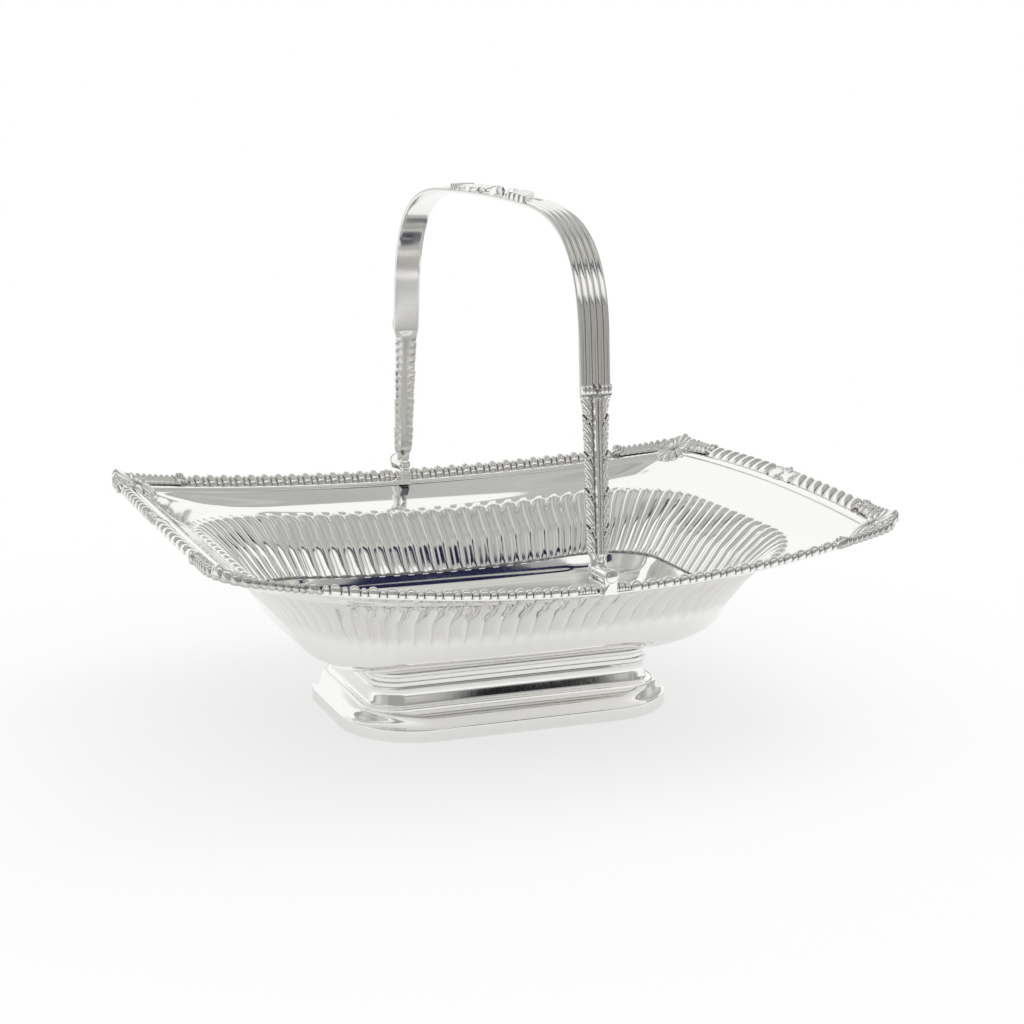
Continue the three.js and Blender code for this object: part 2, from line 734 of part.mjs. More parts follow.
// Middle line of the bail's inner face in the YZ plane, from the near hinge over to the far one
function handleLine() {
  const at = (y, z) => new THREE.Vector3(0, y, z);
  const leg = at(-legTopY, legTopZ).sub(at(-legFootY, pinHeight)).normalize();
  const crownSlope = (2 * crownCamber) / crownEndY;
  const crown = at(crownEndY, 0).add(at(0, crownSlope * crownEndY)).normalize();
  const pull = 0.46 * Math.hypot(shoulderWidth, shoulderHeight);
  const legTop = at(-legTopY, legTopZ);
  const crownStart = at(-crownEndY, crownEndZ);
  const flip = (v) => at(-v.y, v.z);
  const upper = legTop.clone().addScaledVector(leg, pull);
  const lower = crownStart.clone().addScaledVector(crown, -pull);
  const line = new THREE.CurvePath();
  line.add(new THREE.LineCurve3(at(-legFootY, pinHeight), legTop));
  line.add(new THREE.CubicBezierCurve3(legTop, upper, lower, crownStart));
  const crownPull = at(0, crownZ + crownCamber);
  line.add(new THREE.QuadraticBezierCurve3(crownStart, crownPull, flip(crownStart)));
  line.add(new THREE.CubicBezierCurve3(flip(crownStart), flip(lower), flip(upper), flip(legTop)));
  line.add(new THREE.LineCurve3(flip(legTop), at(legFootY, pinHeight)));
  return line;
}

const bailLine = handleLine();
const bailLength = bailLine.getLength();

// Point beside the bail's line: across is along X, and out is away from the space under the bail
function besideBail(distance, across, out) {
  const share = THREE.MathUtils.clamp(distance / bailLength, 0, 1);
  const point = bailLine.getPoint(share);
  const tangent = bailLine.getTangent(share);
  return new THREE.Vector3(across, point.y - tangent.z * out, point.z + tangent.y * out);
}

function alongBail(places, sectionAt) {
  const sections = places.map((distance, i) =>
    sectionAt(i / (places.length - 1), i).map(([across, out]) => besideBail(distance, across, out)),
  );
  return loft(sections, sectionAt(0, 0));
}

// Reeded outer face: one ridge and one groove for each reed, flat on the inner face
function bailSection() {
  const half = bailWidth / 2;
  const loop = [
    [-half, 0],
    [half, 0],
  ];
  for (let i = 0; i <= reedCount * 2; i += 1) {
    const out = i % 2 === 0 ? bailThickness - reedDepth : bailThickness;
    loop.push([half - (bailWidth * i) / (reedCount * 2), out]);
  }
  return loop;
}

function makeBail() {
  const lineParts = bailLine.curves.map((curve) => curve.getLength());
  const start = leafHeight + gap;
  const shoulderStart = lineParts[0];
  const shoulderEnd = shoulderStart + lineParts[1];
  const half = bailLength / 2;
  const up = [
    ...spread(start, shoulderStart, 2).slice(0, -1),
    ...spread(shoulderStart, shoulderEnd, 11).slice(0, -1),
    ...spread(shoulderEnd, half, 3),
  ];
  const down = up.slice(0, -1).reverse().map((place) => bailLength - place);
  return named('handle_bail', alongBail([...up, ...down], bailSection), silver);
}

// Leaf leg: toothed edges, a raised spine outside and a hollow channel inside, on its knuckle
function makeLeaf(name, turn) {
  const footPlace = knuckleRadius * 0.6;
  const leafNeck = (plateWidth - gap) / 2;
  const teeth = spread(leafFootHeight + gap, leafHeight, leafTeeth * 2);
  const section = (share, i) => {
    const tooth = i % 2 === 0 ? 0 : leafToothDepth;
    const width = THREE.MathUtils.lerp(leafWidthFoot, leafWidthTop, share);
    const half = i < 2 ? leafNeck : width / 2 - leafToothDepth + tooth;
    const hollow = leafThickness * 0.3 * Math.min(1, share * 5, (1 - share) * 5);
    return [
      [-half, 0],
      [-half * 0.45, hollow],
      [half * 0.45, hollow],
      [half, 0],
      [half, leafThickness * 0.45],
      [half * 0.45, leafThickness * 0.75],
      [0, leafThickness],
      [-half * 0.45, leafThickness * 0.75],
      [-half, leafThickness * 0.45],
    ];
  };
  const blade = toManifold(alongBail([footPlace, leafFootHeight, ...teeth], section));
  const knuckle = toManifold(barAlongY(knuckleRadius, -knuckleOuter, -knuckleInner, pinHeight, 16));
  const bore = toManifold(barAlongY(boreRadius, -knuckleOuter - 1, -knuckleInner + 1, pinHeight, 16));
  const leaf = fromManifold(blade.add(knuckle).subtract(bore));
  leaf.rotateZ(turn);
  return named(name, leaf, castSilver);
}

// Ornament laid on the bail's outer face, as wide as the bail and a little more
function onCrown(name, from, to, steps, shapeAt) {
  const half = bailLength / 2;
  const section = (share, i) => {
    const { width, height } = shapeAt(share, i);
    const low = bailThickness + gap;
    return [
      [-width, low],
      [width, low],
      [width, low + height * 0.5],
      [width * 0.5, low + height],
      [-width * 0.5, low + height],
      [-width, low + height * 0.5],
    ];
  };
  return named(name, alongBail(spread(half + from, half + to, steps), section), castSilver);
}

function makeCrown() {
  const wide = bailWidth / 2 + ornamentSpread;
  const bandStart = wrapLength + gap;
  const bandEnd = bandStart + crownBandLength;
  const tipStart = bandEnd + gap;
  const tipEnd = tipStart + crownTipLength;
  const pieces = [];
  for (const [side, sense] of [['near', -1], ['far', 1]]) {
    const wrap = (share) => ({
      width: wide - 1.2 * Math.sin(Math.PI * 2 * share) ** 2,
      height: ornamentHeight * (0.55 + 0.45 * Math.sin(Math.PI * share)),
    });
    const ribs = (share, i) => ({ width: wide, height: ornamentHeight * (i % 2 === 0 ? 0.55 : 0.85) });
    const tip = (share) => ({
      width: THREE.MathUtils.lerp(wide * 0.8, 1, share),
      height: ornamentHeight * THREE.MathUtils.lerp(0.6, 0.3, share),
    });
    pieces.push(
      onCrown(`crown_wrap_${side}`, sense * gap * 0.5, sense * wrapLength, 8, wrap),
      onCrown(`crown_band_${side}`, sense * bandStart, sense * bandEnd, 8, ribs),
      onCrown(`crown_tip_${side}`, sense * tipStart, sense * tipEnd, 4, tip),
    );
  }
  return pieces;
}

const basket = new THREE.Group();
basket.add(makeBowl(), ...makeFoot(), ...makeBorder());
basket.add(makeBracket('hinge_bracket_near', Math.PI), makeBracket('hinge_bracket_far', 0));
basket.add(makePin('hinge_pin_near', Math.PI), makePin('hinge_pin_far', 0));

const handle = new THREE.Group();
handle.add(makeBail(), makeLeaf('handle_leaf_near', 0), makeLeaf('handle_leaf_far', Math.PI));
handle.add(...makeCrown());

const model = new THREE.Group();
model.add(basket, handle);

export default model;
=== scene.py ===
import math

import bpy
import numpy as np
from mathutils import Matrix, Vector


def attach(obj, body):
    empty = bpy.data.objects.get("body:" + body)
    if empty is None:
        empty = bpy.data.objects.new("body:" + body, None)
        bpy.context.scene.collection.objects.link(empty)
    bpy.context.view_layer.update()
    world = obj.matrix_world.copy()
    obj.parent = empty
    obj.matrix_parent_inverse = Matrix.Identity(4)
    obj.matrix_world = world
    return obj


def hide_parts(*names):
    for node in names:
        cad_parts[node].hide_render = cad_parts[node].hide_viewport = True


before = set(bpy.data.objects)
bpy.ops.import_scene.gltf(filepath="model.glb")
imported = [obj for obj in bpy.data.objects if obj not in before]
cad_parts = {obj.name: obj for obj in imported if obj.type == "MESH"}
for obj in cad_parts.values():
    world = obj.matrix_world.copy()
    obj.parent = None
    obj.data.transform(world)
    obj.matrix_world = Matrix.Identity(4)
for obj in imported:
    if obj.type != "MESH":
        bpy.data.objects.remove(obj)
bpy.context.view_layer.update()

mm = 0.001
print("frame loaded:", len(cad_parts), "solids")


# helpers: a grid primitive is wrapped into rows of points, in millimetres

def dropSelection():
    bpy.ops.object.select_all(action="DESELECT")


def tidyMesh(piece, smoothAngle):
    dropSelection()
    piece.select_set(True)
    bpy.context.view_layer.objects.active = piece
    bpy.ops.object.mode_set(mode="EDIT")
    bpy.ops.mesh.select_all(action="SELECT")
    bpy.ops.mesh.remove_doubles(threshold=1e-6)
    bpy.ops.mesh.normals_make_consistent(inside=False)
    bpy.ops.object.mode_set(mode="OBJECT")
    bpy.ops.object.shade_smooth_by_angle(angle=math.radians(smoothAngle))


def wrapGrid(name, rows, smoothAngle, paintedShade=None):
    # each row is a closed loop of points; an optional value per point gives the shade painted into its
    # hollows
    rows = np.asarray(rows, float)
    count, around = rows.shape[:2]
    dropSelection()
    bpy.ops.mesh.primitive_grid_add(x_subdivisions=around, y_subdivisions=count - 1, size=1)
    piece = bpy.context.object
    piece.name = piece.data.name = name
    flat = np.zeros(len(piece.data.vertices) * 3)
    piece.data.vertices.foreach_get("co", flat)
    flat = flat.reshape(-1, 3)
    column = np.rint((flat[:, 0] + 0.5) * around).astype(int) % around
    row = np.rint((flat[:, 1] + 0.5) * (count - 1)).astype(int)
    piece.data.vertices.foreach_set("co", (rows[row, column] * mm).ravel())
    if paintedShade is not None:
        tone = piece.data.attributes.new("paintedShade", "FLOAT", "POINT")
        tone.data.foreach_set("value", np.asarray(paintedShade, float)[row, column])
    tidyMesh(piece, smoothAngle)
    return piece


def tubeFromSections(name, sections, smoothAngle, paintedShade=None):
    # sections along a piece, each a closed loop; a point at each end closes it
    ends = [np.repeat(loop.mean(0)[None], len(loop), 0) for loop in (sections[0], sections[-1])]
    rows = np.concatenate([ends[0][None], sections, ends[1][None]])
    if paintedShade is not None:
        paintedShade = np.concatenate([paintedShade[:1], paintedShade, paintedShade[-1:]])
    return wrapGrid(name, rows, smoothAngle, paintedShade)


def finishPiece(piece, body, slot, material, *nodes):
    piece.data.materials.clear()
    piece.data.materials.append(material)
    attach(piece, body)
    if nodes:
        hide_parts(*nodes)


def polishedPiece(piece, *nodes, body="basket"):
    finishPiece(piece, body, "polished_silver", polishedSilver, *nodes)


def castPiece(name, sections, smoothAngle, paintedShade, *nodes, body="basket"):
    piece = tubeFromSections(name, sections, smoothAngle, paintedShade)
    finishPiece(piece, body, "cast_silver", castSilver, *nodes)


def smoothStep(value):
    value = np.clip(value, 0, 1)
    return value * value * (3 - 2 * value)


def dome(value):
    # half-round across a lobe, value from -1 to 1
    return np.sqrt(np.clip(1 - value ** 2, 0, 1))


def lobePlace(phase):
    # from -1 to 1 across each lobe of a row, by a phase that counts the lobes
    return (phase % 1) * 2 - 1


def bell(distance, width):
    return np.exp(-(distance / width) ** 2)


def stretches(start, *spans):
    # places along a line: for each span, where it ends and in how many steps it gets there
    places = []
    for end, steps in spans:
        places.append(np.linspace(start, end, steps + 1)[:-1])
        start = end
    return np.concatenate([*places, [start]])


def curveOne(share, start, pull, end):
    return (1 - share) ** 2 * start + 2 * share * (1 - share) * pull + share ** 2 * end


def curveTwo(share, start, pull, pullBack, end):
    first = (1 - share) ** 3 * start + 3 * share * (1 - share) ** 2 * pull
    return first + 3 * share ** 2 * (1 - share) * pullBack + share ** 3 * end


def measureLine(points):
    # length along a line of points, and its direction at each of them
    length = np.concatenate([[0], np.cumsum(np.linalg.norm(np.diff(points, axis=0), axis=1))])
    tangent = np.gradient(points, length, axis=0)
    return length, tangent / np.linalg.norm(tangent, axis=1)[:, None]


# materials

def fillInputs(node, inputs):
    # each input gets a value, or a link from the output that is given for it
    for label, value in inputs.items():
        if isinstance(value, bpy.types.NodeSocket):
            node.id_data.links.new(value, node.inputs[label])
        else:
            node.inputs[label].default_value = value


def addNode(tree, kind, inputs=None, **settings):
    node = tree.nodes.new("ShaderNode" + kind)
    for label, value in settings.items():
        setattr(node, label, value)
    fillInputs(node, inputs or {})
    return node


def newMaterial(name):
    material = bpy.data.materials.new(name)
    material.use_nodes = True
    return material, material.node_tree, material.node_tree.nodes["Principled BSDF"]


def objectPlace(tree):
    return addNode(tree, "TexCoord").outputs["Object"]


wearInputs = ("Rough low", "Rough high", "Mark size", "Mark depth")


def noiseGroup():
    # fine wipe marks and a slow drift of the polish, on object coordinates
    group = bpy.data.node_groups.new("polishWear", "ShaderNodeTree")
    for label in wearInputs:
        group.interface.new_socket(label, in_out="INPUT", socket_type="NodeSocketFloat")
    for label, kind in (("Roughness", "NodeSocketFloat"), ("Normal", "NodeSocketVector")):
        group.interface.new_socket(label, in_out="OUTPUT", socket_type=kind)
    given, out = group.nodes.new("NodeGroupInput").outputs, group.nodes.new("NodeGroupOutput")
    place = objectPlace(group)
    cloud = addNode(group, "TexNoise", {"Scale": 38, "Detail": 5, "Vector": place})
    stretch = addNode(group, "Mapping", {"Scale": (1.0, 0.16, 0.5), "Rotation": (0.2, 0.1, 0.5),
                                         "Vector": place})
    marks = addNode(group, "TexNoise", {"Detail": 4, "Roughness": 0.7, "Scale": given["Mark size"],
                                        "Vector": stretch.outputs["Vector"]})
    blend = addNode(group, "Math", {0: cloud.outputs["Fac"], 1: marks.outputs["Fac"]}, operation="MULTIPLY")
    spread = addNode(group, "MapRange", {"From Min": 0.12, "From Max": 0.42, "To Min": given["Rough low"],
                                         "To Max": given["Rough high"], "Value": blend.outputs[0]})
    bump = addNode(group, "Bump", {"Distance": 0.00002, "Strength": given["Mark depth"],
                                   "Height": marks.outputs["Fac"]})
    fillInputs(out, {"Roughness": spread.outputs["Result"], "Normal": bump.outputs["Normal"]})
    return group


wear = noiseGroup()


def silverMaterial(name, look):
    material, tree, shader = newMaterial(name)
    polish = addNode(tree, "Group", {label: look[label] for label in wearInputs}, node_tree=wear)
    drift = addNode(tree, "TexNoise", {"Scale": look["drift"], "Detail": 3, "Vector": objectPlace(tree)})
    tone = addNode(tree, "Mix", {"A": (*look["cool"], 1), "B": (*look["warm"], 1),
                                 "Factor": drift.outputs["Fac"]}, data_type="RGBA")
    # painted shade: the colour darkens towards the dark shade colour by each point's painted shade value
    paintedShade = addNode(tree, "Attribute", attribute_name="paintedShade")
    colour = addNode(tree, "Mix", {"A": tone.outputs["Result"], "B": (*look["hollow"], 1),
                                   "Factor": paintedShade.outputs["Fac"]}, data_type="RGBA")
    fillInputs(shader, {"Metallic": 1, "Base Color": colour.outputs["Result"],
                        "Roughness": polish.outputs["Roughness"], "Normal": polish.outputs["Normal"]})
    return material


# the third colour of each look is the dark colour of the shade painted into hollows
polished = {"cool": (0.93, 0.93, 0.925), "warm": (0.95, 0.942, 0.922), "hollow": (0.2, 0.19, 0.18),
            "drift": 14, "Rough low": 0.045, "Rough high": 0.1, "Mark size": 900, "Mark depth": 0.12}
cast = {"cool": (0.9, 0.9, 0.89), "warm": (0.94, 0.925, 0.89), "hollow": (0.3, 0.295, 0.28), "drift": 60,
        "Rough low": 0.1, "Rough high": 0.2, "Mark size": 1400, "Mark depth": 0.2}
polishedSilver = silverMaterial("polishedSilver", polished)
castSilver = silverMaterial("castSilver", cast)
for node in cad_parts.values():
    node.data.materials.clear()
    node.data.materials.append(polishedSilver)
print("materials ready")


# camera, at the photograph's viewing angle

view = {"azimuth": -21.7, "elevation": 12.06, "roll": 0.44, "distance": 1051.15, "targetX": 12.78,
        "targetZ": 98.03, "lens": 71.75, "sensor": 36}


def placeCamera():
    azimuth, elevation, roll = (math.radians(view[label]) for label in ("azimuth", "elevation", "roll"))
    back = Vector((math.sin(azimuth) * math.cos(elevation), -math.cos(azimuth) * math.cos(elevation),
                   math.sin(elevation)))
    right = Vector((math.cos(azimuth), math.sin(azimuth), 0))
    turned = right * math.cos(roll) + back.cross(right) * math.sin(roll)
    top = back.cross(turned)
    bpy.ops.object.camera_add()
    camera = bpy.context.object
    camera.name = "photoCamera"
    camera.data.sensor_width = view["sensor"]
    camera.data.lens = view["lens"]
    camera.data.clip_start, camera.data.clip_end = 0.01, 50
    place = (Vector((view["targetX"], 0, view["targetZ"])) + back * view["distance"]) * mm
    matrix = camera.matrix_world.copy()
    for i in range(3):
        matrix[i] = (turned[i], top[i], back[i], place[i])
    camera.matrix_world = matrix
    bpy.context.scene.camera = camera


dropSelection()
placeCamera()


# outlines in plan, shared by the bowl, the border and the foot; x runs along the basket and y across it

def quarterTable(x, y, corner, bow=0.0, endBow=0.0):
    # one quarter, from the middle of a long side to the middle of an end
    steps, turnRound = 500, 0.5523
    sideX = x - corner
    sideY = y - bow * (sideX / x) ** 2
    sideSlope = -2 * bow * sideX / x ** 2
    endY = y - bow - corner
    endX = x - endBow * (endY / y) ** 2
    endSlope = -2 * endBow * endY / y ** 2
    tipX = (endX + endSlope * (sideY - sideSlope * sideX - endY)) / (1 - sideSlope * endSlope)
    tip = np.array([tipX, sideY + sideSlope * (tipX - sideX)])
    sideEnd, cornerEnd = np.array([sideX, sideY]), np.array([endX, endY])
    share = np.linspace(0, 1, steps)[:, None]
    side = curveOne(share, np.array([0, y]), np.array([sideX / 2, y]), sideEnd)
    turn = curveTwo(share, sideEnd, sideEnd + (tip - sideEnd) * turnRound,
                    cornerEnd + (tip - cornerEnd) * turnRound, cornerEnd)
    end = curveOne(share, cornerEnd, np.array([x, endY / 2]), np.array([x, 0]))
    points = np.concatenate([side, turn[1:], end[1:]])
    length, tangent = measureLine(points)
    return {"points": points, "length": length, "spans": np.diff(length[[0, steps - 1, 2 * steps - 2, -1]]),
            "outward": np.stack([-tangent[:, 1], tangent[:, 0]], 1)}


def alongQuarter(table, place):
    pick = lambda values: np.stack([np.interp(place, table["length"], values[:, i]) for i in range(2)], -1)
    return pick(table["points"]), pick(table["outward"])


def fourQuarters(points, outward):
    # a quarter with both its ends is mirrored all the way round, near right first
    whole = []
    for signs, back in (((1, -1), False), ((1, 1), True), ((-1, 1), False), ((-1, -1), True)):
        whole.append([(values[1:][::-1] if back else values[:-1]) * signs for values in (points, outward)])
    return [np.concatenate(values) for values in zip(*whole)]


rim = {"x": 174, "y": 146, "corner": 18, "bow": 27.5, "endBow": 6.7, "height": 90.4, "rise": 13.6,
       "crest": 1.9, "crestReach": 100, "sheet": 1.2, "slope": 0.32, "flat": 12.5}
rimTable = quarterTable(rim["x"], rim["y"], rim["corner"], rim["bow"], rim["endBow"])
rimQuarter = rimTable["length"][-1]
flangeFace = rim["sheet"] * math.hypot(1, rim["slope"])


def riseAt(x, y):
    along = (x / rim["x"]) ** 2
    return rim["rise"] * along + rim["crest"] * along * np.maximum(0, 1 - (y / rim["crestReach"]) ** 2)


def overFlange(distance, inset, height):
    # a point by its distance round the rim, its inset from the edge and its height over the flange
    distance, inset, height = np.broadcast_arrays(distance, inset, height)
    whole = distance % (4 * rimQuarter)
    quarter = np.floor(whole / rimQuarter).astype(int) % 4
    along = whole - quarter * rimQuarter
    along = np.where(quarter % 2 == 1, rimQuarter - along, along)
    point, outward = alongQuarter(rimTable, along)
    signX = np.where(quarter < 2, 1, -1)
    signY = np.where((quarter == 0) | (quarter == 3), -1, 1)
    x, y = point[..., 0] * signX, point[..., 1] * signY
    z = rim["height"] + riseAt(x, y) - rim["slope"] * inset + flangeFace + height
    return np.stack([x - outward[..., 0] * signX * inset, y - outward[..., 1] * signY * inset, z], -1)


# bowl: one sheet, flat in the well, fluted on the wall and plain on the flange

bowl = {
    "levels": (  # half length, half width, corner, bow, end bow, height, share of the rise
        (64, 32, 20, 0, 0, 32.8, 0), (78, 46, 30, 0, 0, 32.8, 0), (90, 50.5, 24, 0, 0, 33.4, 0.1),
        (99.5, 60.3, 29, 0, 0, 36.9, 0.3), (109.4, 70, 35, 0, 0, 42.2, 0.6), (115.6, 75, 41, 0, 0, 49.5, 1),
        (117.4, 76.6, 42, 0.5, 0, 52, 1), (127.2, 86.2, 48.5, 1.5, 0, 65, 1),
        (138, 98.8, 58.5, 2.5, 0, 74.8, 1), (143.2, 105, 59, 4, 0, 78.3, 1),
        (152.5, 119, 42, 14, 2, 81.5, 1)),
    "footRow": 5, "headRow": 9,  # the levels where the flutes begin and end
    "perSide": 18, "perCorner": 12, "perEnd": 9,  # half flutes in half a side, corner and end
    "samples": 8, "ease": 25,  # stations to a flute, and over how many the spacing is evened out
    "flareSide": 34, "flareEnd": 25, "crowding": 0.6, "depth": 2.3, "roundness": 1.16,
    "fade": 8.0, "cut": 1.0, "tipHead": 4.6, "blur": 2.0, "grain": 0.25,
}
halfFlutes = bowl["perSide"] + 2 * bowl["perCorner"] + bowl["perEnd"]
fluteStations = np.arange(0, halfFlutes * bowl["samples"] / 2 + 1) / (bowl["samples"] / 2)


def flutePlaces(spans, flareSide, flareEnd):
    # places of the flute stations along a quarter; a flare gives part of a straight side to the corner
    side, end = spans[0] - flareSide, spans[2] - flareEnd
    corner = sum(spans) - side - end
    toSide = bowl["perSide"]
    toCorner = toSide + 2 * bowl["perCorner"]
    turn = (fluteStations - toSide) / bowl["perCorner"] - 1
    even = bowl["crowding"] if flareSide > 0 else 1
    inCorner = side + corner / 2 * (1 + turn * (even + (1 - even) * turn ** 2))
    atEnd = side + corner + end * (fluteStations - toCorner) / bowl["perEnd"]
    places = np.where(fluteStations <= toSide, side * fluteStations / toSide,
                      np.where(fluteStations <= toCorner, inCorner, atEnd))
    # the spacing changes gently where a straight side meets a corner
    step, reach, window = np.diff(places), bowl["ease"] // 2, np.hanning(bowl["ease"])
    padded = np.concatenate([step[:reach][::-1], step, step[-reach:][::-1]])
    gentle = np.convolve(padded, window / window.sum(), "valid")
    gentle *= places[-1] / gentle.sum()
    return np.concatenate([[0], np.cumsum(gentle)])


def bowlSurface():
    rows = []
    for *shape, z, lift in bowl["levels"]:
        table = quarterTable(*shape)
        last = shape[0] == bowl["levels"][-1][0]
        places = flutePlaces(table["spans"], bowl["flareSide"] / 2 * last, bowl["flareEnd"] / 2 * last)
        points, outward = fourQuarters(*alongQuarter(table, places))
        rows.append(np.column_stack([points, z + lift * riseAt(*points.T)]))
    places = flutePlaces(rimTable["spans"], bowl["flareSide"], bowl["flareEnd"])
    points, outward = fourQuarters(*alongQuarter(rimTable, places))
    for inset in (rim["flat"], 0):
        z = rim["height"] + riseAt(*points.T) - rim["slope"] * inset
        rows.append(np.column_stack([points - outward * inset, z]))
    return np.array(rows)


def bowlRows():
    # the levels, blended into a smooth surface in fine rows by their mean distance along the sheet
    rows = bowlSurface()
    travel = np.concatenate([[0], np.cumsum(np.linalg.norm(np.diff(rows, axis=0), axis=2).mean(1))])
    dense = np.arange(-10, travel[-1] + 10, bowl["grain"])
    index = np.clip(np.searchsorted(travel, dense) - 1, 0, len(travel) - 2)
    share = ((dense - travel[index]) / (travel[index + 1] - travel[index]))[:, None, None]
    fineRows = rows[index] * (1 - share) + rows[index + 1] * share
    reach = int(3 * bowl["blur"] / bowl["grain"])
    weight = np.exp(-0.5 * (np.arange(-reach, reach + 1) * bowl["grain"] / bowl["blur"]) ** 2)
    weight /= weight.sum()
    pad = np.concatenate([np.repeat(fineRows[:1], reach, 0), fineRows, np.repeat(fineRows[-1:], reach, 0)])
    smooth = sum(part * pad[i:i + len(fineRows)] for i, part in enumerate(weight))
    return dense, smooth, travel


def capAcross(sideways, along):
    # a round-bottomed flute with round ends; 1 in the middle and 0 at its sharp edges
    size = bowl["roundness"]
    spread = np.clip(sideways ** 2 + along ** 2, 0, 1)
    return (np.sqrt(size ** 2 - spread) - math.sqrt(size ** 2 - 1)) / (size - math.sqrt(size ** 2 - 1))


def closeIn(ring, shares):
    # level rings that shrink towards the middle of a ring
    return [ring * (share, share, 0) + (0, 0, ring[:, 2].mean()) for share in shares]


def makeBowl():
    dense, smooth, travel = bowlRows()
    begin, stop = travel[bowl["footRow"]], travel[bowl["headRow"]]
    picks = np.concatenate([
        stretches(travel[1] - 4, (begin - 0.5, 14))[:-1],
        begin + np.array([-0.5, 0, 0.25, 0.5, 0.75, 1.0, 1.25]),
        stretches(begin + 1.5, (begin + bowl["fade"], 7), (stop - bowl["tipHead"], 11), (stop, 8),
                  (travel[-1], 17))])
    take = np.rint((picks - dense[0]) / bowl["grain"]).astype(int)
    base = smooth[take]
    normal = np.cross(np.roll(base, -1, 1) - np.roll(base, 1, 1), np.gradient(smooth, axis=0)[take])
    normal /= np.linalg.norm(normal, axis=2)[..., None]
    normal *= np.sign(normal[len(picks) // 2, 0, 2])
    stations = np.concatenate([fluteStations[:-1], fluteStations[1:][::-1]] * 2)
    high = np.clip((picks - stop + bowl["tipHead"]) / bowl["tipHead"], 0, 1.2)
    cap = capAcross((stations % 2 - 1)[None, :], high[:, None])
    fade, cut = (smoothStep((picks - begin) / bowl[label])[:, None] for label in ("fade", "cut"))
    outer = base + normal * (bowl["depth"] * cap * fade)[..., None]
    inner = base + normal * (rim["sheet"] + bowl["depth"] * cap * cut)[..., None]
    away = base[-1] - base[-2]
    away /= np.linalg.norm(away, axis=1)[:, None]
    lip = [outer[-1] * (1 - share) + inner[-1] * share + away * bulge
           for share, bulge in ((0.15, 0.3), (0.5, 0.45), (0.85, 0.3))]
    rows = np.concatenate([closeIn(outer[0], (0, 0.6, 0.96)), outer, lip, inner[::-1],
                           closeIn(inner[0], (0.96, 0.6, 0))])
    # painted shade: a dark line where the flutes begin inside, and a light shade down the middle of each
    # outer flute
    line = 0.6 * bell(picks - begin - 0.4, 0.5)[:, None] * np.ones_like(cap)
    plain = np.zeros((3, len(stations)))
    tone = np.concatenate([plain, 0.16 * cap * fade, plain, line[::-1], plain])
    polishedPiece(wrapGrid("bowlSheet", rows, 38, tone), "bowl")


makeBowl()
print("bowl ready")


# raised band and gadroon strips; outside the edge distance a strip clears the sheet's rounded lip

border = {"bandInset": 7.8, "bandWidth": 3.5, "bandHeight": 1.2, "bandTurn": 0.35, "strip": 5.5,
          "height": 4.2, "overhang": 0.9, "edge": 0.62, "pitch": 8.4, "endPitch": 8.0, "lean": 4.0,
          "armSide": 44, "armEnd": 35, "endHalf": 13, "leafLength": 9, "hingeHalf": 3.8, "gap": 0.3}
rimTurn = rimTable["spans"][0] + rimTable["spans"][1] / 2


def makeRaisedBand():
    places = flutePlaces(rimTable["spans"], bowl["flareSide"], bowl["flareEnd"])
    back = places[1:][::-1]
    whole = np.concatenate([places[:-1], 2 * rimQuarter - back, 2 * rimQuarter + places[:-1],
                            4 * rimQuarter - back])[::2]
    outer, high, turn = border["bandInset"], border["bandHeight"], border["bandTurn"]
    inner = outer + border["bandWidth"]
    profile = ((inner, -0.3), (inner, high - turn), (inner - 0.1, high - 0.1), (inner - turn, high),
               (outer + turn, high), (outer + 0.1, high - 0.1), (outer, high - turn), (outer, -0.3),
               (inner, -0.3))
    rows = np.array([overFlange(whole, inset, height) for inset, height in profile])
    polishedPiece(wrapGrid("raisedBand", rows, 50), "raised_band")


def lobePhase(pairs):
    # stations of alternating wide and narrow lobes: phase, place across the lobe, and size of the lobe
    stations = []
    for pair in range(pairs):
        for start, width, steps, size in ((0, 0.6, 10, 1.0), (0.6, 0.4, 7, 0.8)):
            stations += [(pair + start + width * i / steps, 2 * i / steps - 1, size) for i in range(steps)]
    return np.array(stations + [(pairs, -1.0, 1.0)]).T


def addLip(inset, height, crown):
    # each lobe turns down over the edge of the sheet
    flat = np.ones_like(crown)
    lip = np.concatenate([-0.5 - 0.5 * crown, -border["edge"] * flat, 0.4 * flat, 2.5 * flat], 1)
    fall = np.concatenate([-0.4 - 0.8 * crown, -0.5 - 0.5 * crown, -0.3 * flat, -0.3 * flat], 1)
    return np.concatenate([inset, lip], 1), np.concatenate([height, fall], 1)


def gadroonStrip(name, node, distance, inset, height, crown, dark):
    insets, heights = addLip(inset, height, crown)
    # painted shade between the lobes all round the strip, and a little at its ends
    paintedShade = np.repeat(dark, insets.shape[1], 1)
    paintedShade[[0, -1]] = 0.1
    castPiece(name, overFlange(distance, insets, heights), 50, paintedShade, node)


def gadroonSide(name, node, start, end):
    pairs = max(2, round(abs(end - start) / border["pitch"]))
    place, sideways, size = lobePhase(pairs)
    crown, size = dome(sideways)[:, None], size[:, None]
    angle = np.linspace(0, math.pi, 13)[None, :]
    inner = border["strip"] - 0.4 + 0.4 * crown
    outer = -border["edge"] - border["overhang"] * size * crown
    arch, big = np.cos(angle), size * (0.4 + 0.6 * crown)
    inset = (inner + outer) / 2 + (inner - outer) / 2 * np.sign(arch) * np.abs(arch) ** 0.8
    height = border["height"] * big * np.sin(angle) ** 0.85 * (1 - 0.12 * arch)
    distance = (start + (end - start) * place / pairs)[:, None]
    gadroonStrip(name, node, distance, inset, height, crown, (1 - crown) ** 1.4)


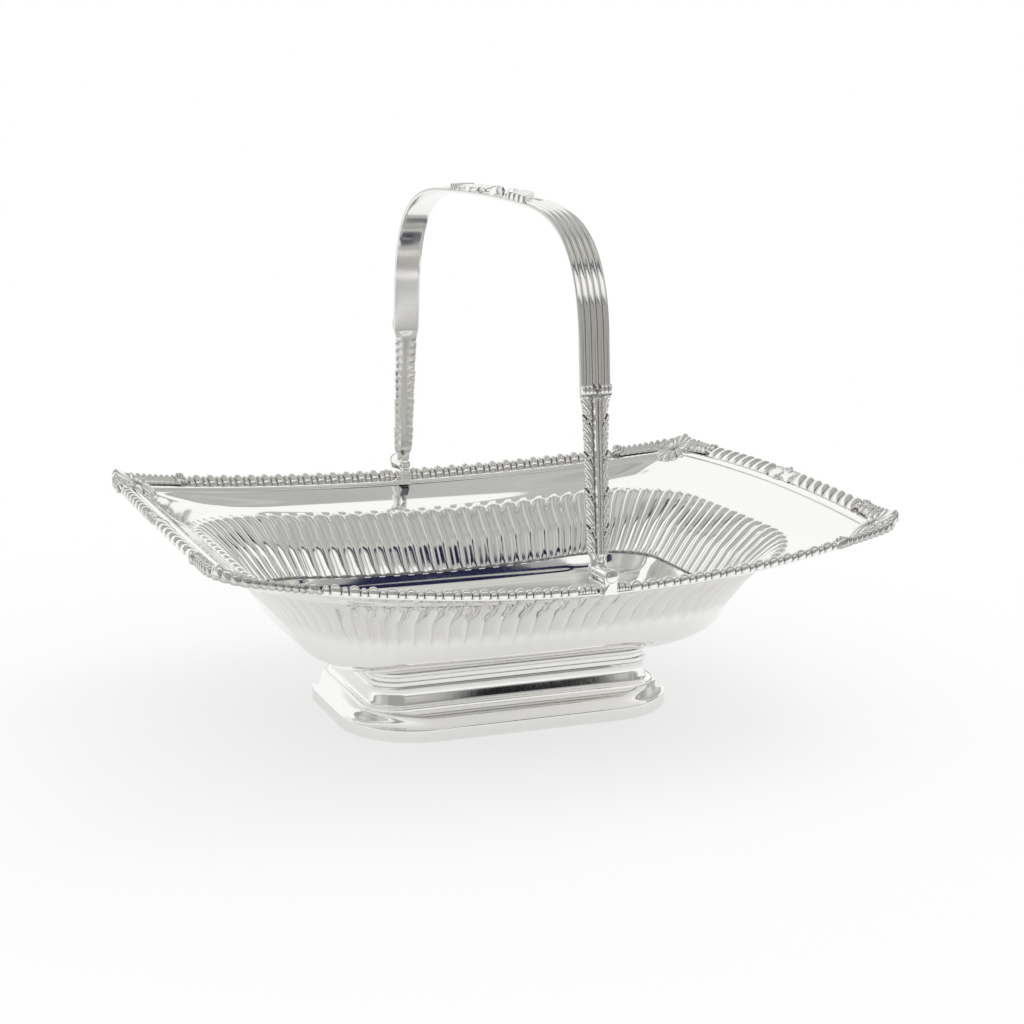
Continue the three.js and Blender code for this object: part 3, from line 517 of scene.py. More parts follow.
def gadroonEnd(name, node, start, end, lean):
    # leaning lobes: a bulb at the edge with a tail that sweeps inwards
    count = max(3, round(abs(end - start) / border["endPitch"]))
    steps = 12
    place = np.arange(count * steps + 1) / steps
    angle = np.linspace(0, math.pi, 15)[None, :]
    side = (1 - np.cos(angle)) / 2
    crown = dome(lobePlace(place))[:, None]
    rib = 0.16 * bell(lobePlace(place)[:, None] - 0.5, 0.13)
    inner, outer = border["strip"] + 0.9, -border["edge"] - border["overhang"] * crown
    inset = (inner + outer) / 2 + (inner - outer) / 2 * np.cos(angle)
    height = border["height"] * (0.36 + 0.64 * crown - rib) * (0.75 + 0.35 * side) * np.sin(angle) ** 0.75
    shift = lean * (0.5 - side) * np.minimum(1, np.minimum(place, count - place)[:, None])
    shifts = np.concatenate([shift, np.repeat(shift[:, -1:], 2, 1), np.zeros((len(place), 2))], 1)
    distance = (start + (end - start) * place / count)[:, None] + shifts
    # painted shade between the lobes and in the groove along each lobe
    gadroonStrip(name, node, distance, inset, height, crown, np.clip((1 - crown) ** 1.4 + 3.4 * rib, 0, 1))


makeRaisedBand()
quarters = (("near", "right", 0, 1), ("far", "right", 2 * rimQuarter, -1),
            ("far", "left", 2 * rimQuarter, 1), ("near", "left", 4 * rimQuarter, -1))
stripStart = border["hingeHalf"] + border["leafLength"] + border["gap"]
for side, end, start, sense in quarters:
    at = lambda place: start + sense * place
    gadroonSide(f"gadroonSide_{side}_{end}", f"gadroon_{side}_{end}", at(stripStart),
                at(rimTurn - border["armSide"] - border["gap"]))
    gadroonEnd(f"gadroonEnd_{end}_{side}", f"gadroon_{end}_{side}",
               at(rimTurn + border["armEnd"] + border["gap"]),
               at(rimQuarter - border["endHalf"] - border["gap"]), -sense * border["lean"])
print("border strips ready")


# corner mounts, end shells and the small leaves beside the hinges

mount = {"depth": 7.2, "thin": 5.4, "scrolls": (-40.6, 31.2), "scroll": 4.3, "scrollInset": 1.4,
         "lobe": 32, "lobeReach": 10.4, "notch": 3.0}
cornerShell = {"hub": 9.3, "tip": 12.4, "ribs": 9, "high": 5.4, "scale": 1.0}
endShell = {"hub": 4.4, "tip": 6.2, "ribs": 7, "high": 3.6, "scale": 0.62}


def flangeHeight(x, y):
    # height of the flange's face under a place near the edge
    points, outward = rimTable["points"][::3], rimTable["outward"][::3]
    place = np.stack([np.abs(x), np.abs(y)], -1)
    apart = place[..., None, :] - points
    nearest = np.hypot(apart[..., 0], apart[..., 1]).argmin(-1)
    inset = -((place - points[nearest]) * outward[nearest]).sum(-1)
    return rim["height"] + riseAt(x, y) - rim["slope"] * inset + flangeFace


def scrollRelief(along, inset, middle):
    # a round scroll with a spiral groove and an eye; the second value is shade painted into the groove
    along, inset = along - middle, inset - mount["scrollInset"]
    reach = np.hypot(along, inset)
    coil = 0.5 + 0.5 * np.cos(2 * math.pi * (reach / 1.75 - np.arctan2(inset, along) / (2 * math.pi)))
    high = 1.4 + 3.2 * dome(reach / mount["scroll"]) ** 0.7 - 1.1 * (1 - coil) ** 1.5
    high = high + 0.7 * bell(reach, 0.8)
    inside = reach < mount["scroll"]
    return np.where(inside, high, 0), np.where(inside, (1 - coil) ** 2, 0)


def armPiece(name, distance, inset, high, hollow, low, fall):
    # low and fall carry the edge down past the sheet, and the under side lies just below the flange's face
    flat = np.ones_like(distance)
    insets = np.concatenate([inset, 3.0 * flat, 0.5 * flat, *low], 1)
    heights = np.concatenate([high, -0.35 * flat, -0.35 * flat, *fall], 1)
    # painted shade on the rows that carry the edge down and along the under side
    hollow = np.concatenate([hollow, np.full((len(distance), 4), 0.8)], 1)
    castPiece(name, overFlange(distance, insets, heights), 60, hollow)


def makeArms(name, corner, sense):
    # the two arms of a corner mount: beads along the edge, a hollow leaf and a scroll at each end
    step = 0.3
    along = np.arange(-border["armSide"], border["armEnd"] + 0.01, step)[:, None]
    pitch = 3.3 + 1.9 * bell(along, 13)
    across = lobePlace(np.cumsum(step / pitch)[:, None])
    near = bell(along, 17)
    scrollOut = sum(np.clip(mount["scroll"] ** 2 - (along - middle) ** 2, 0, None) ** 0.5
                    for middle in mount["scrolls"])
    out = 0.85 + 1.3 * near + 0.9 * dome(across)
    out = np.where(scrollOut > 0, np.maximum(out * 0.6, scrollOut - 1.3), out)
    taper = smoothStep(np.minimum(along + border["armSide"], border["armEnd"] - along) / 2.5)
    depth = mount["thin"] + (mount["depth"] - mount["thin"]) * smoothStep(near * 1.6)
    depth = depth * (0.72 + 0.28 * taper)
    teeth = np.abs(np.sin(along * math.pi / 3.6)) ** 0.6
    depth = depth - 0.55 * (1 - teeth) * (scrollOut == 0)
    share = (1 - np.cos(np.linspace(0, math.pi, 31))) / 2
    inset = -out * (1 - share) + depth * share
    half = pitch * 0.5
    middle = -out + half * 0.9
    bead = np.clip(1 - ((inset - middle) / half) ** 2 - across ** 2 * 0.9, 0, 1) ** 0.5
    beadHigh = 0.9 + (2.5 + 1.2 * near) * bead
    # leaf: hollow and smooth on the side arm, ribbed and puffed up on the end arm
    leafHigh = 1.5 + 1.9 * ((inset - 3.4) / 3.6).clip(-0.75, 1) ** 2 + 0.12 * np.cos(inset * 5.2)
    puff = dome(lobePlace(along / 6.2))
    puffHigh = 1.6 + 2.4 * puff * np.clip(1 - ((inset - 2.6) / 5) ** 2, 0, 1)
    puffHigh = puffHigh + 0.22 * np.cos(along * 5.6 + inset * 0.8)
    isEnd = smoothStep((along - 3) / 3)
    body = leafHigh * (1 - isEnd) + puffHigh * isEnd
    edge = np.clip((depth - inset) / 1.1, 0, 1) ** 0.5
    body = 0.5 + (body - 0.5) * edge * smoothStep((inset - middle + 0.2) / 1.4)
    onBead = inset < middle + half
    high = np.maximum(body, beadHigh * onBead)
    # painted shade between the beads, in the hollows between the puffs and along the inner edge
    hollow = np.clip(0.55 * (1 - bead) * onBead * (beadHigh > body - 0.6), 0, 1)
    hollow = np.maximum(hollow, np.clip(1 - puff * 1.6, 0, 1) * isEnd * 0.8)
    hollow = np.maximum(hollow, (1 - edge) * 0.7)
    for place in mount["scrolls"]:
        coil, dark = scrollRelief(along, inset, place)
        high = np.where(coil > 0, coil, high)
        hollow = np.where(coil > 0, dark, hollow)
    high = high * (0.25 + 0.75 * taper)
    high[:, 0] = 0.3
    low = np.full_like(out, -border["edge"]), 0.05 - 0.95 * out
    fall = -0.5 - 0.5 * dome(across), -0.5 - 0.8 * dome(across)
    armPiece(name, corner + sense * along, inset, high, hollow, low, fall)


def makeEndArms(name, place):
    # beads and a short leaf at each side of an end shell
    along = np.arange(-border["endHalf"], border["endHalf"] + 0.01, 0.25)[:, None]
    across = lobePlace(along / 2.9 + 0.5)
    taper = smoothStep((border["endHalf"] - np.abs(along)) / 3)
    out, depth = 0.5 + 0.5 * dome(across) + taper, 4.6 + 2.0 * taper
    share = (1 - np.cos(np.linspace(0, math.pi, 23))) / 2
    inset = -out * (1 - share) + depth * share
    body = 1.1 + 1.6 * taper * dome((inset - 2.6) / 4.4) + 0.16 * np.cos(inset * 4.5 + np.abs(along))
    middle = -out + 1.2
    bead = np.clip(1 - ((inset - middle) / 1.35) ** 2 - across ** 2 * 0.9, 0, 1) ** 0.5
    high = np.maximum(body, 0.7 + 2.0 * bead) * np.clip((depth - inset) / 0.9 + 0.2, 0, 1)
    high[:, 0] = 0.7
    # painted shade between the beads
    dark = 0.6 * (1 - bead) * (inset < middle + 1.3)
    flat = np.ones_like(along)
    armPiece(name, place + along, inset, high, dark, (-0.7 * out, -0.96 * out), (0.3 * flat, 0.05 * flat))


def leafPhase(side):
    return (side - 100) / mount["lobe"] % 1


def shellRelief(angle, share, shell):
    # angle in degrees from the outward line; share from the hub to the outline
    side = np.abs(angle)
    fan = smoothStep((104 - side) / 6)
    rib = dome(lobePlace(angle / (200 / shell["ribs"]) + 0.5)) ** 0.8
    spread = smoothStep(share / 0.35)
    sweep = shell["high"] * (1 - 0.22 * np.sin(share * math.pi) + 0.06 * share)
    fanHigh = 0.7 + (sweep - 0.9 * (1 - rib) * spread - 0.7) * dome(((share - 0.8) / 0.2).clip(0, 1))
    roll = bell(side, 13) * bell(share - 0.78, 0.2)
    fanHigh = fanHigh + 1.2 * roll * (shell["high"] / cornerShell["high"]) ** 3
    phase = leafPhase(side)
    lobe = dome(phase * 2 - 1)
    vein = bell(phase - 0.5, 0.07) + 0.7 * bell(phase - 0.27, 0.05) + 0.7 * bell(phase - 0.73, 0.05)
    leafHigh = 1.7 + (shell["high"] - 2.4) * (1 - share) ** 0.8 + 1.5 * lobe * share * (1 - share ** 4)
    leafHigh = leafHigh - 0.45 * vein * (1 - share)
    leafHigh = leafHigh * np.sqrt(np.clip(1 - ((share - 0.86) / 0.14).clip(0, 1) ** 2, 0.02, 1)) + 0.15
    # painted shade between the leaf lobes and along their veins, and between the fan's ribs
    leafDark = (1 - lobe) ** 2 * share + 0.5 * vein * (1 - share)
    dark = (1 - rib) ** 1.5 * spread * fan + leafDark * (1 - fan)
    return fanHigh * fan + leafHigh * (1 - fan), np.clip(dark, 0, 1)


def makeShell(name, place, shell, node):
    # fan of ribs towards the edge and rounded leaf lobes towards the bowl, with a small flower on the hub
    degrees = np.linspace(-180, 180, 241)[:-1]
    side = np.abs(degrees)
    rib = dome(lobePlace(degrees / (200 / shell["ribs"]) + 0.5))
    scallops = shell["tip"] * (0.93 + 0.07 * rib) * (1 - 0.2 * smoothStep((side - 25) / 70))
    scallops = scallops + 1.5 * shell["scale"] * bell(side, 20)
    phase = leafPhase(side)
    teeth = 0.35 * np.abs(np.sin(phase * math.pi * 3))
    lobes = mount["lobeReach"] - mount["notch"] * (1 - dome(phase * 2 - 1) ** 0.7) - 0.35 + teeth
    fan = smoothStep((104 - side) / 6)
    reach = scallops * fan + lobes * shell["scale"] * (1 - fan)
    share = np.append(stretches(0, (0.3, 8), (0.86, 18))[1:], [0.9, 0.93, 0.96, 0.98, 0.995, 1.0])[:, None]
    relief, dark = shellRelief(degrees, share, shell)
    radius, turn = share * reach, np.radians(degrees)
    flower = 2.7 * shell["scale"] * (0.75 + 0.25 * np.abs(np.cos(turn * 2.5)))
    relief = relief + (0.9 * dome(radius / flower) - 0.8 * bell(radius, 0.7))
    # painted shade in a ring round the flower
    dark = np.maximum(dark, bell(radius / flower - 1, 0.14) * 0.9)
    centre = overFlange(place, shell["hub"], 0)
    outward = (overFlange(place, 0, 0) - centre)[:2]
    outward = outward / np.linalg.norm(outward)
    x = centre[0] + radius * (np.cos(turn) * outward[0] - np.sin(turn) * outward[1])
    y = centre[1] + radius * (np.cos(turn) * outward[1] + np.sin(turn) * outward[0])
    z = flangeHeight(x, y)
    top = np.stack([x, y, z + relief], -1)
    low = np.column_stack([x[-1], y[-1], z[-1] + 0.15])
    sunk = centre[:2] + (low[:, :2] - centre[:2]) * 0.6
    sunk = np.column_stack([sunk, flangeHeight(*sunk.T) - 0.3])
    # painted shade on the rows of the edge and the under side
    tone = np.concatenate([dark, np.full((2, len(degrees)), 0.8)])
    castPiece(name, np.concatenate([top, low[None], sunk[None]]), 60, tone, node)


def makeHingeLeaf(name, start, end, node):
    # three leaflets that grow away from the hinge
    share = np.linspace(0, 1, 46)[:, None]
    phase = share * 3
    lobe = dome(lobePlace(phase))
    angle = np.linspace(0, math.pi, 19)[None, :]
    inner, outer = border["strip"] - 0.7 * (1 - lobe), -border["overhang"] * (0.2 + 0.8 * lobe)
    inset = (inner + outer) / 2 + (inner - outer) / 2 * np.cos(angle)
    high = border["height"] * (0.6 + 0.45 * np.sin(math.pi * share) ** 0.7) * (0.72 + 0.28 * lobe)
    spine = bell(inset - 2.3, 0.45)
    vein = 0.3 * np.cos(phase * 4 * math.pi + np.abs(inset - 2.3) * 1.6)
    height = high * np.sin(angle) ** 0.8 + 0.35 * spine - (0.2 + vein) * 0.5 * (1 - spine) * np.sin(angle)
    flat = np.ones_like(share)
    insets = np.concatenate([inset, -0.3 * flat, 2.5 * flat], 1)
    heights = np.concatenate([height, -0.35 * flat, -0.35 * flat], 1)
    # painted shade between the leaflets and on the under side
    dark = np.concatenate([np.repeat((1 - lobe) ** 2, angle.size, 1), 0.8 * flat, 0.8 * flat], 1)
    castPiece(name, overFlange(start + (end - start) * share, insets, heights), 50, dark, node)


for side, end, start, sense in quarters:
    corner, leafStart = start + sense * rimTurn, start + sense * border["hingeHalf"]
    leafEnd = start + sense * (border["hingeHalf"] + border["leafLength"])
    makeArms(f"cornerArms_{side}_{end}", corner, sense)
    makeShell(f"cornerShell_{side}_{end}", corner, cornerShell, f"corner_shell_{side}_{end}")
    makeHingeLeaf(f"hingeLeaf_{side}_{end}", leafStart, leafEnd, f"hinge_leaf_{side}_{end}")
for end, place in (("right", rimQuarter), ("left", 3 * rimQuarter)):
    makeEndArms(f"endArms_{end}", place)
    makeShell(f"endShell_{end}", place, endShell, f"end_shell_{end}")
print("mounts ready")


# foot: base band, apron, fillet, cove and stepped collar, as insets from end and side, and heights

foot = {"x": 87.4, "y": 60.7, "corner": 39.7, "tighter": 25, "neckInset": 17, "wall": 1.8,
        "band": ((0.7, 0.7, 0.0), (0.15, 0.15, 0.35), (0, 0, 1.0), (0, 0, 5.9), (0.15, 0.15, 6.6),
                 (0.7, 0.7, 7.0)),
        "apron": ((0.9, 0.9, 7.0), (1.6, 1.9, 7.6), (4.6, 7.0, 11.2), (8.2, 12.6, 12.6)),
        "fillet": ((8.7, 13.5, 12.6), (8.7, 13.6, 13.5), (9.1, 14.1, 13.8), (9.5, 14.5, 13.55)),
        "cove": ((9.6, 14.5, 13.6), (10.9, 16.1, 13.8), (12.2, 17.2, 14.4), (12.65, 17.65, 17.0),
                 (13.05, 18.05, 19.4), (13.2, 18.2, 20.8), (13.1, 18.1, 22.2), (12.5, 17.5, 24.1)),
        "behind": ((14.3, 19.3, 24.1), (14.9, 19.9, 20.0), (14.4, 19.4, 13.2), (10.4, 14.6, 11.4),
                   (8.4, 12.4, 10.6), (4.8, 7.0, 9.2), (2.7, 2.7, 7.0)),
        "collar": ((12.6, 17.7, 24.1), (12.2, 17.3, 24.4), (12.2, 17.3, 26.0), (12.35, 17.45, 26.25),
                   (13.2, 18.3, 26.3), (13.2, 18.3, 26.7), (12.9, 18.0, 26.9), (12.9, 18.0, 28.3),
                   (13.1, 18.2, 28.5), (13.6, 18.7, 28.55), (13.6, 18.7, 28.9), (12.5, 17.7, 29.1),
                   (12.4, 17.6, 29.3), (12.4, 17.6, 30.3), (12.7, 17.9, 30.5), (13.6, 18.8, 30.6),
                   (13.6, 18.8, 31.2), (13.3, 18.5, 31.4), (13.3, 18.5, 33.0)),
        # dark lines painted on the rows at these heights, standing for shade and dark reflections at the
        # steps and grooves
        "dark": {13.55: 0.7, 13.6: 0.8, 24.1: 0.8, 26.3: 0.15, 28.55: 0.2, 30.6: 0.5, 31.2: 0.8}}


def soften(points, times):
    # cuts the corners of a line of points and keeps its ends
    points = np.array(points, float)
    for _ in range(times):
        cut = np.stack([points[:-1] * 0.75 + points[1:] * 0.25, points[:-1] * 0.25 + points[1:] * 0.75], 1)
        points = np.concatenate([points[:1], cut.reshape(-1, 3), points[-1:]])
    return points


def footLoop(endInset, sideInset, z):
    # the corners tighten as the sides come in towards the neck
    corner = foot["corner"] - foot["tighter"] * smoothStep(sideInset / foot["neckInset"])
    table = quarterTable(foot["x"] - endInset, foot["y"] - sideInset, corner)
    side, turn, end = table["spans"]
    places = np.concatenate([np.linspace(0, side, 9)[:-1], side + np.linspace(0, turn, 56)[:-1],
                             side + turn + np.linspace(0, end, 7)])
    points, outward = fourQuarters(*alongQuarter(table, places))
    return np.column_stack([points, np.full(len(points), z)])


def footRing(name, profile, node, behind=()):
    # outer face by its profile, and the inner face a wall's thickness behind it
    wall = foot["wall"]
    if not behind:
        behind = [(end + wall, side + wall, z) for end, side, z in (profile[-1], profile[0])]
    rows = [footLoop(*place) for place in (*profile, *behind, profile[0])]
    # painted shade and painted dark reflection on the rows listed as dark
    tone = [foot["dark"].get(round(float(z), 2), 0) for end, side, z in profile]
    tone = np.repeat(np.array(tone + [0] * len(behind) + tone[:1])[:, None], len(rows[0]), 1)
    polishedPiece(wrapGrid(name, rows, 28, tone), node)


cove = [*soften(foot["apron"], 2), *foot["fillet"], *soften(foot["cove"], 3)]
footRing("footBand", foot["band"], "foot_band")
footRing("footCove", cove, "foot_cove", behind=foot["behind"])
footRing("footCollar", foot["collar"], "foot_collar")
print("foot ready")


# handle

handle = {"pinZ": 100.0, "footY": 137.3, "topY": 127.7, "topZ": 205.0, "crownY": 56.9, "crownZ": 258.3,
          "camber": 1.2, "pull": 0.46, "width": 14.7, "thick": 2.6, "reeds": 5, "reedDepth": 0.75}


def bailTable():
    # the bail's line in y and z, from the near pin over the crown to the far one
    legFoot, legTop, crownStart = (np.array([-handle[y], handle[z]]) for y, z in
                                   (("footY", "pinZ"), ("topY", "topZ"), ("crownY", "crownZ")))
    leg, crown = legTop - legFoot, np.array([handle["crownY"], 2 * handle["camber"]])
    legLength = np.linalg.norm(leg)
    pull = handle["pull"] * math.hypot(handle["topY"] - handle["crownY"], handle["crownZ"] - handle["topZ"])
    share = np.linspace(0, 1, 500)[:, None]
    straight = legFoot + leg * share
    shoulder = curveTwo(share, legTop, legTop + leg / legLength * pull,
                        crownStart - crown / np.linalg.norm(crown) * pull, crownStart)
    peak = np.array([0, handle["crownZ"] + 2 * handle["camber"]])
    half = np.concatenate([straight[:-1], shoulder[:-1]])
    top = curveOne(share, crownStart, peak, crownStart * (-1, 1))
    line = np.concatenate([half, top, half[::-1] * (-1, 1)])
    length, tangent = measureLine(line)
    return {"line": line, "length": length, "tangent": tangent, "leg": legLength,
            "shoulder": length[len(half)]}


bail = bailTable()
bailHalf = bail["length"][-1] / 2


def besideBail(distance, across, out):
    # a point by its distance along the bail, its place across it and its height over the inner face
    distance, across, out = np.broadcast_arrays(distance, across, out)
    pick = lambda values, i: np.interp(distance, bail["length"], values[:, i])
    y, z = pick(bail["line"], 0), pick(bail["line"], 1)
    return np.stack([across, y - pick(bail["tangent"], 1) * out, z + pick(bail["tangent"], 0) * out], -1)


leaf = {"neck": 3.7, "widthFoot": 5.7, "widthTop": 6.6, "start": 1.9, "wide": 8.5, "top": 79.0, "tip": 84.0,
        "group": 16.4, "fingers": 4, "slope": 3.2, "curve": 0.27, "groove": 0.85, "rib": 1.5, "thick": 4.5}


def makeBail():
    perReed = 10
    place = np.arange(handle["reeds"] * perReed + 1) / perReed
    lobe = dome(lobePlace(place))
    lobe[-1] = 0
    edge = handle["width"] / 2
    face = zip((place / handle["reeds"] - 0.5) * handle["width"],
               handle["thick"] - handle["reedDepth"] + handle["reedDepth"] * lobe)
    back = [(edge, 0.5), (edge - 0.15, 0.12), (edge - 0.5, 0), (edge - 2, 0), (0, 0), (2 - edge, 0),
            (0.5 - edge, 0), (0.15 - edge, 0.12), (-edge, 0.5)]
    loop = np.array([*face, *back])
    up = stretches(leaf["top"] - 1, (bail["leg"], 7), (bail["shoulder"], 43), (bailHalf, 13))
    places = np.concatenate([up, 2 * bailHalf - up[:-1][::-1]])[:, None]
    # painted shade between the reeds
    paintedShade = np.repeat(np.append((1 - lobe) ** 2 * 0.7, [0] * len(back))[None], len(places), 0)
    piece = tubeFromSections("bailReeded", besideBail(places, loop[:, 0], loop[:, 1]), 35, paintedShade)
    finishPiece(piece, "handle", "polished_silver", castSilver, "handle_bail")


makeBail()


def leafRelief(up, x, half):
    # height of the leaf's outer face at a place up the leg and across it, and how much shade is painted
    # there for lying deep in a hollow
    side = np.abs(x)
    rib = leaf["rib"] * (0.8 + 0.35 * up / leaf["top"])
    place = (up - leaf["slope"] * (side - rib) + leaf["curve"] * (side - rib) ** 2) / leaf["group"] + 0.25
    group = place % 1
    finger = (group * leaf["fingers"]) % 1
    body = leaf["thick"] * (0.86 - 0.54 * (side / half) ** 1.3)
    ridge = dome(finger * 2 - 1) ** 0.6
    away = smoothStep((side - rib) / 1.6)
    groove = leaf["groove"] * (1 - ridge) * away
    valley = bell(np.minimum(group, 1 - group), 0.045) * 0.8 * away
    curl = 0.45 * group * away * smoothStep((side / half - 0.45) / 0.5)
    vein = 0.22 * bell(finger - 0.5, 0.12) * away
    height = body - groove - valley + curl - vein
    # round spine with a groove at each side of it
    spine = leaf["thick"] - 0.25 + 0.25 * dome(np.clip(x / rib, -1, 1))
    spine = spine - 0.35 * bell(side / rib - 0.62, 0.1)
    over = smoothStep((side - rib * 0.95) / 0.35)
    moat = 0.75 * bell(side - rib - 0.45, 0.3)
    height = spine * (1 - over) + (height - moat) * over
    # a drilled eye between each two groups
    nearest = (np.round(place) - 0.25) * leaf["group"]
    eye = 2.3
    reach = np.hypot(up - nearest - leaf["slope"] * eye + leaf["curve"] * eye ** 2, side - rib - eye)
    bead = dome(reach / 0.95)
    ditch = bell(reach - 1.25, 0.3)
    # painted shade in the grooves, the valleys, the moat beside the spine and the ditch round each eye
    hollow = (1 - ridge) * away * 0.8 + valley * 0.8 + moat * 0.9 * over + 0.45 * ditch
    return height - 0.4 * ditch + 0.9 * bead, np.clip(hollow, 0, 1) * (bead == 0)


def makeLeaf(name, turn, node):
    up = stretches(leaf["start"], (leaf["wide"], 25), (leaf["tip"], 329))[:, None]
    grow = smoothStep((up - 5) / (leaf["wide"] - 5))
    wide = leaf["widthFoot"] + (leaf["widthTop"] - leaf["widthFoot"]) * up / leaf["top"]
    # serrated edge: the tips of the leaflets
    along = up - leaf["slope"] * (wide - leaf["rib"]) + leaf["curve"] * (wide - leaf["rib"]) ** 2
    group = (along / leaf["group"] + 0.25) % 1
    teeth = 0.75 * (1 - dome(lobePlace(group * leaf["fingers"])) ** 0.8) + 0.55 * (1 - group)
    half = leaf["neck"] * (1 - grow) + (wide - teeth) * grow
    # the top widens into a collar across the bail
    bud = smoothStep((up - leaf["top"] + 1.5) / 1.2)
    spread = smoothStep((up - leaf["top"] + 9) / 10)
    half = half * (1 - spread) + (handle["width"] / 2 - 0.1 - 1.0 * (up > leaf["tip"] - 0.3)) * spread
    x = half * (np.sin(np.linspace(-1, 1, 61) * math.pi / 2 * 0.92) / math.sin(math.pi / 2 * 0.92))
    height, hollow = leafRelief(up, x, np.maximum(half, 2))
    fade = smoothStep((up - 3.5) / 4)
    height = (2.6 - 0.9 * (x / half) ** 2) * (1 - fade) + height * fade
    climb = (up - leaf["top"] - 0.2) / (leaf["tip"] - leaf["top"] - 0.2)
    heart = smoothStep((3.4 * climb - np.abs(x) - 0.1) / 0.5)
    heart = heart * smoothStep((1.75 - np.abs(np.abs(x) - 1.3) - 1.2 * climb) / 0.4)
    beads = dome(lobePlace(np.abs(x) / 1.9 + 0.1)) * dome(np.clip(climb * 2 - 1, -1, 1))
    frill = 2.9 + 1.5 * beads * (1 - heart) - 0.5 * heart
    height = height * (1 - bud) + frill * bud
    # painted shade in the heart of the top and between its beads
    hollow = hollow * (1 - bud) * fade + (0.85 * heart + 0.5 * (1 - beads) * (1 - heart)) * bud
    # inner side: shares of the half width from edge to edge, and how hollow the leg is there
    shares, depths = np.array([1.0, 0.93, 0.78, 0.5, 0.2]), np.array([0, 0.12, 0.45, 1.0, 1.12])
    shares, depths = np.append(shares, -shares[::-1]), np.append(depths, depths[::-1])
    lift = smoothStep(np.minimum((up - 2) / 8, (leaf["top"] - up) / 6))
    inner = 1.5 * bud + depths * lift * (1 - bud)
    inner[:, [0, -1]] = 0.55 * (1 - bud) + 1.6 * bud
    sections = besideBail(up, np.concatenate([x, half * shares], 1), np.concatenate([height, inner], 1))
    sections[..., :2] *= turn
    castPiece(name, sections, 60, np.concatenate([hollow, np.zeros_like(inner)], 1), node, body="handle")


hinge = {"outer": 152.5, "length": 21.0, "plate": 2.4, "gap": 0.3, "width": 7.0, "knuckle": 3.1, "pin": 1.5,
         "bore": 1.8, "head": 2.5, "pinZ": 100.0, "postFoot": 92}


def lathe(name, profile, start, turn, dark=()):
    # profile of (along, radius) pairs, turned about the line of the pins; dark lists the rings that get
    # painted shade
    angle = np.linspace(0, 2 * math.pi, 48, endpoint=False)
    rows = [np.column_stack([radius * np.cos(angle), np.full(len(angle), (start + along) * turn),
                             hinge["pinZ"] + radius * np.sin(angle)]) for along, radius in profile]
    tone = np.zeros((len(rows), len(angle)))
    tone[list(dark)] = 0.9
    return wrapGrid(name, rows, 30, tone)


def makeKnuckle(name, turn):
    # barrel with a moulded ring at each end and a fine seam; cut is how far it lies below the full radius
    inner = hinge["outer"] - hinge["length"] + hinge["plate"] + hinge["gap"]
    length = hinge["outer"] - hinge["plate"] - hinge["gap"] - inner
    fromStart = ((0, 0.5), (0.25, 0.15), (0.7, 0), (1.9, 0), (2.2, 0.25), (2.6, 0.3), (3.0, 0.12),
                 (3.4, 0.12), (6.0, 0.1), (6.1, 0.22), (6.3, 0.22), (6.4, 0.1))
    fromEnd = ((1.6, 0.1), (1.2, 0.02), (0.3, 0), (0.05, 0.25), (0, 0.5))
    profile = [(0, hinge["bore"])] + [(along, hinge["knuckle"] - cut) for along, cut in fromStart]
    profile += [(length - back, hinge["knuckle"] - cut) for back, cut in fromEnd]
    profile += [(length, hinge["bore"]), (0, hinge["bore"])]
    polishedPiece(lathe(name, profile, inner, turn), body="handle")


def plateFromOutline(name, outline, start, end, bevel, turn, centre):
    # a plate with bevelled edges, by its outline in x and z and where it lies along y
    away = np.array(outline, float) - centre
    reach = np.linalg.norm(away, axis=1)[:, None]
    rows = []
    for y, inset in ((start, reach), (start, bevel), (start + bevel * 0.3, bevel * 0.3), (start + bevel, 0),
                     (end - bevel, 0), (end - bevel * 0.3, bevel * 0.3), (end, bevel), (end, reach)):
        ring = centre + away * (1 - inset / reach)
        rows.append(np.column_stack([ring[:, 0], np.full(len(ring), y * turn), ring[:, 1]]))
    return wrapGrid(name, rows, 30)


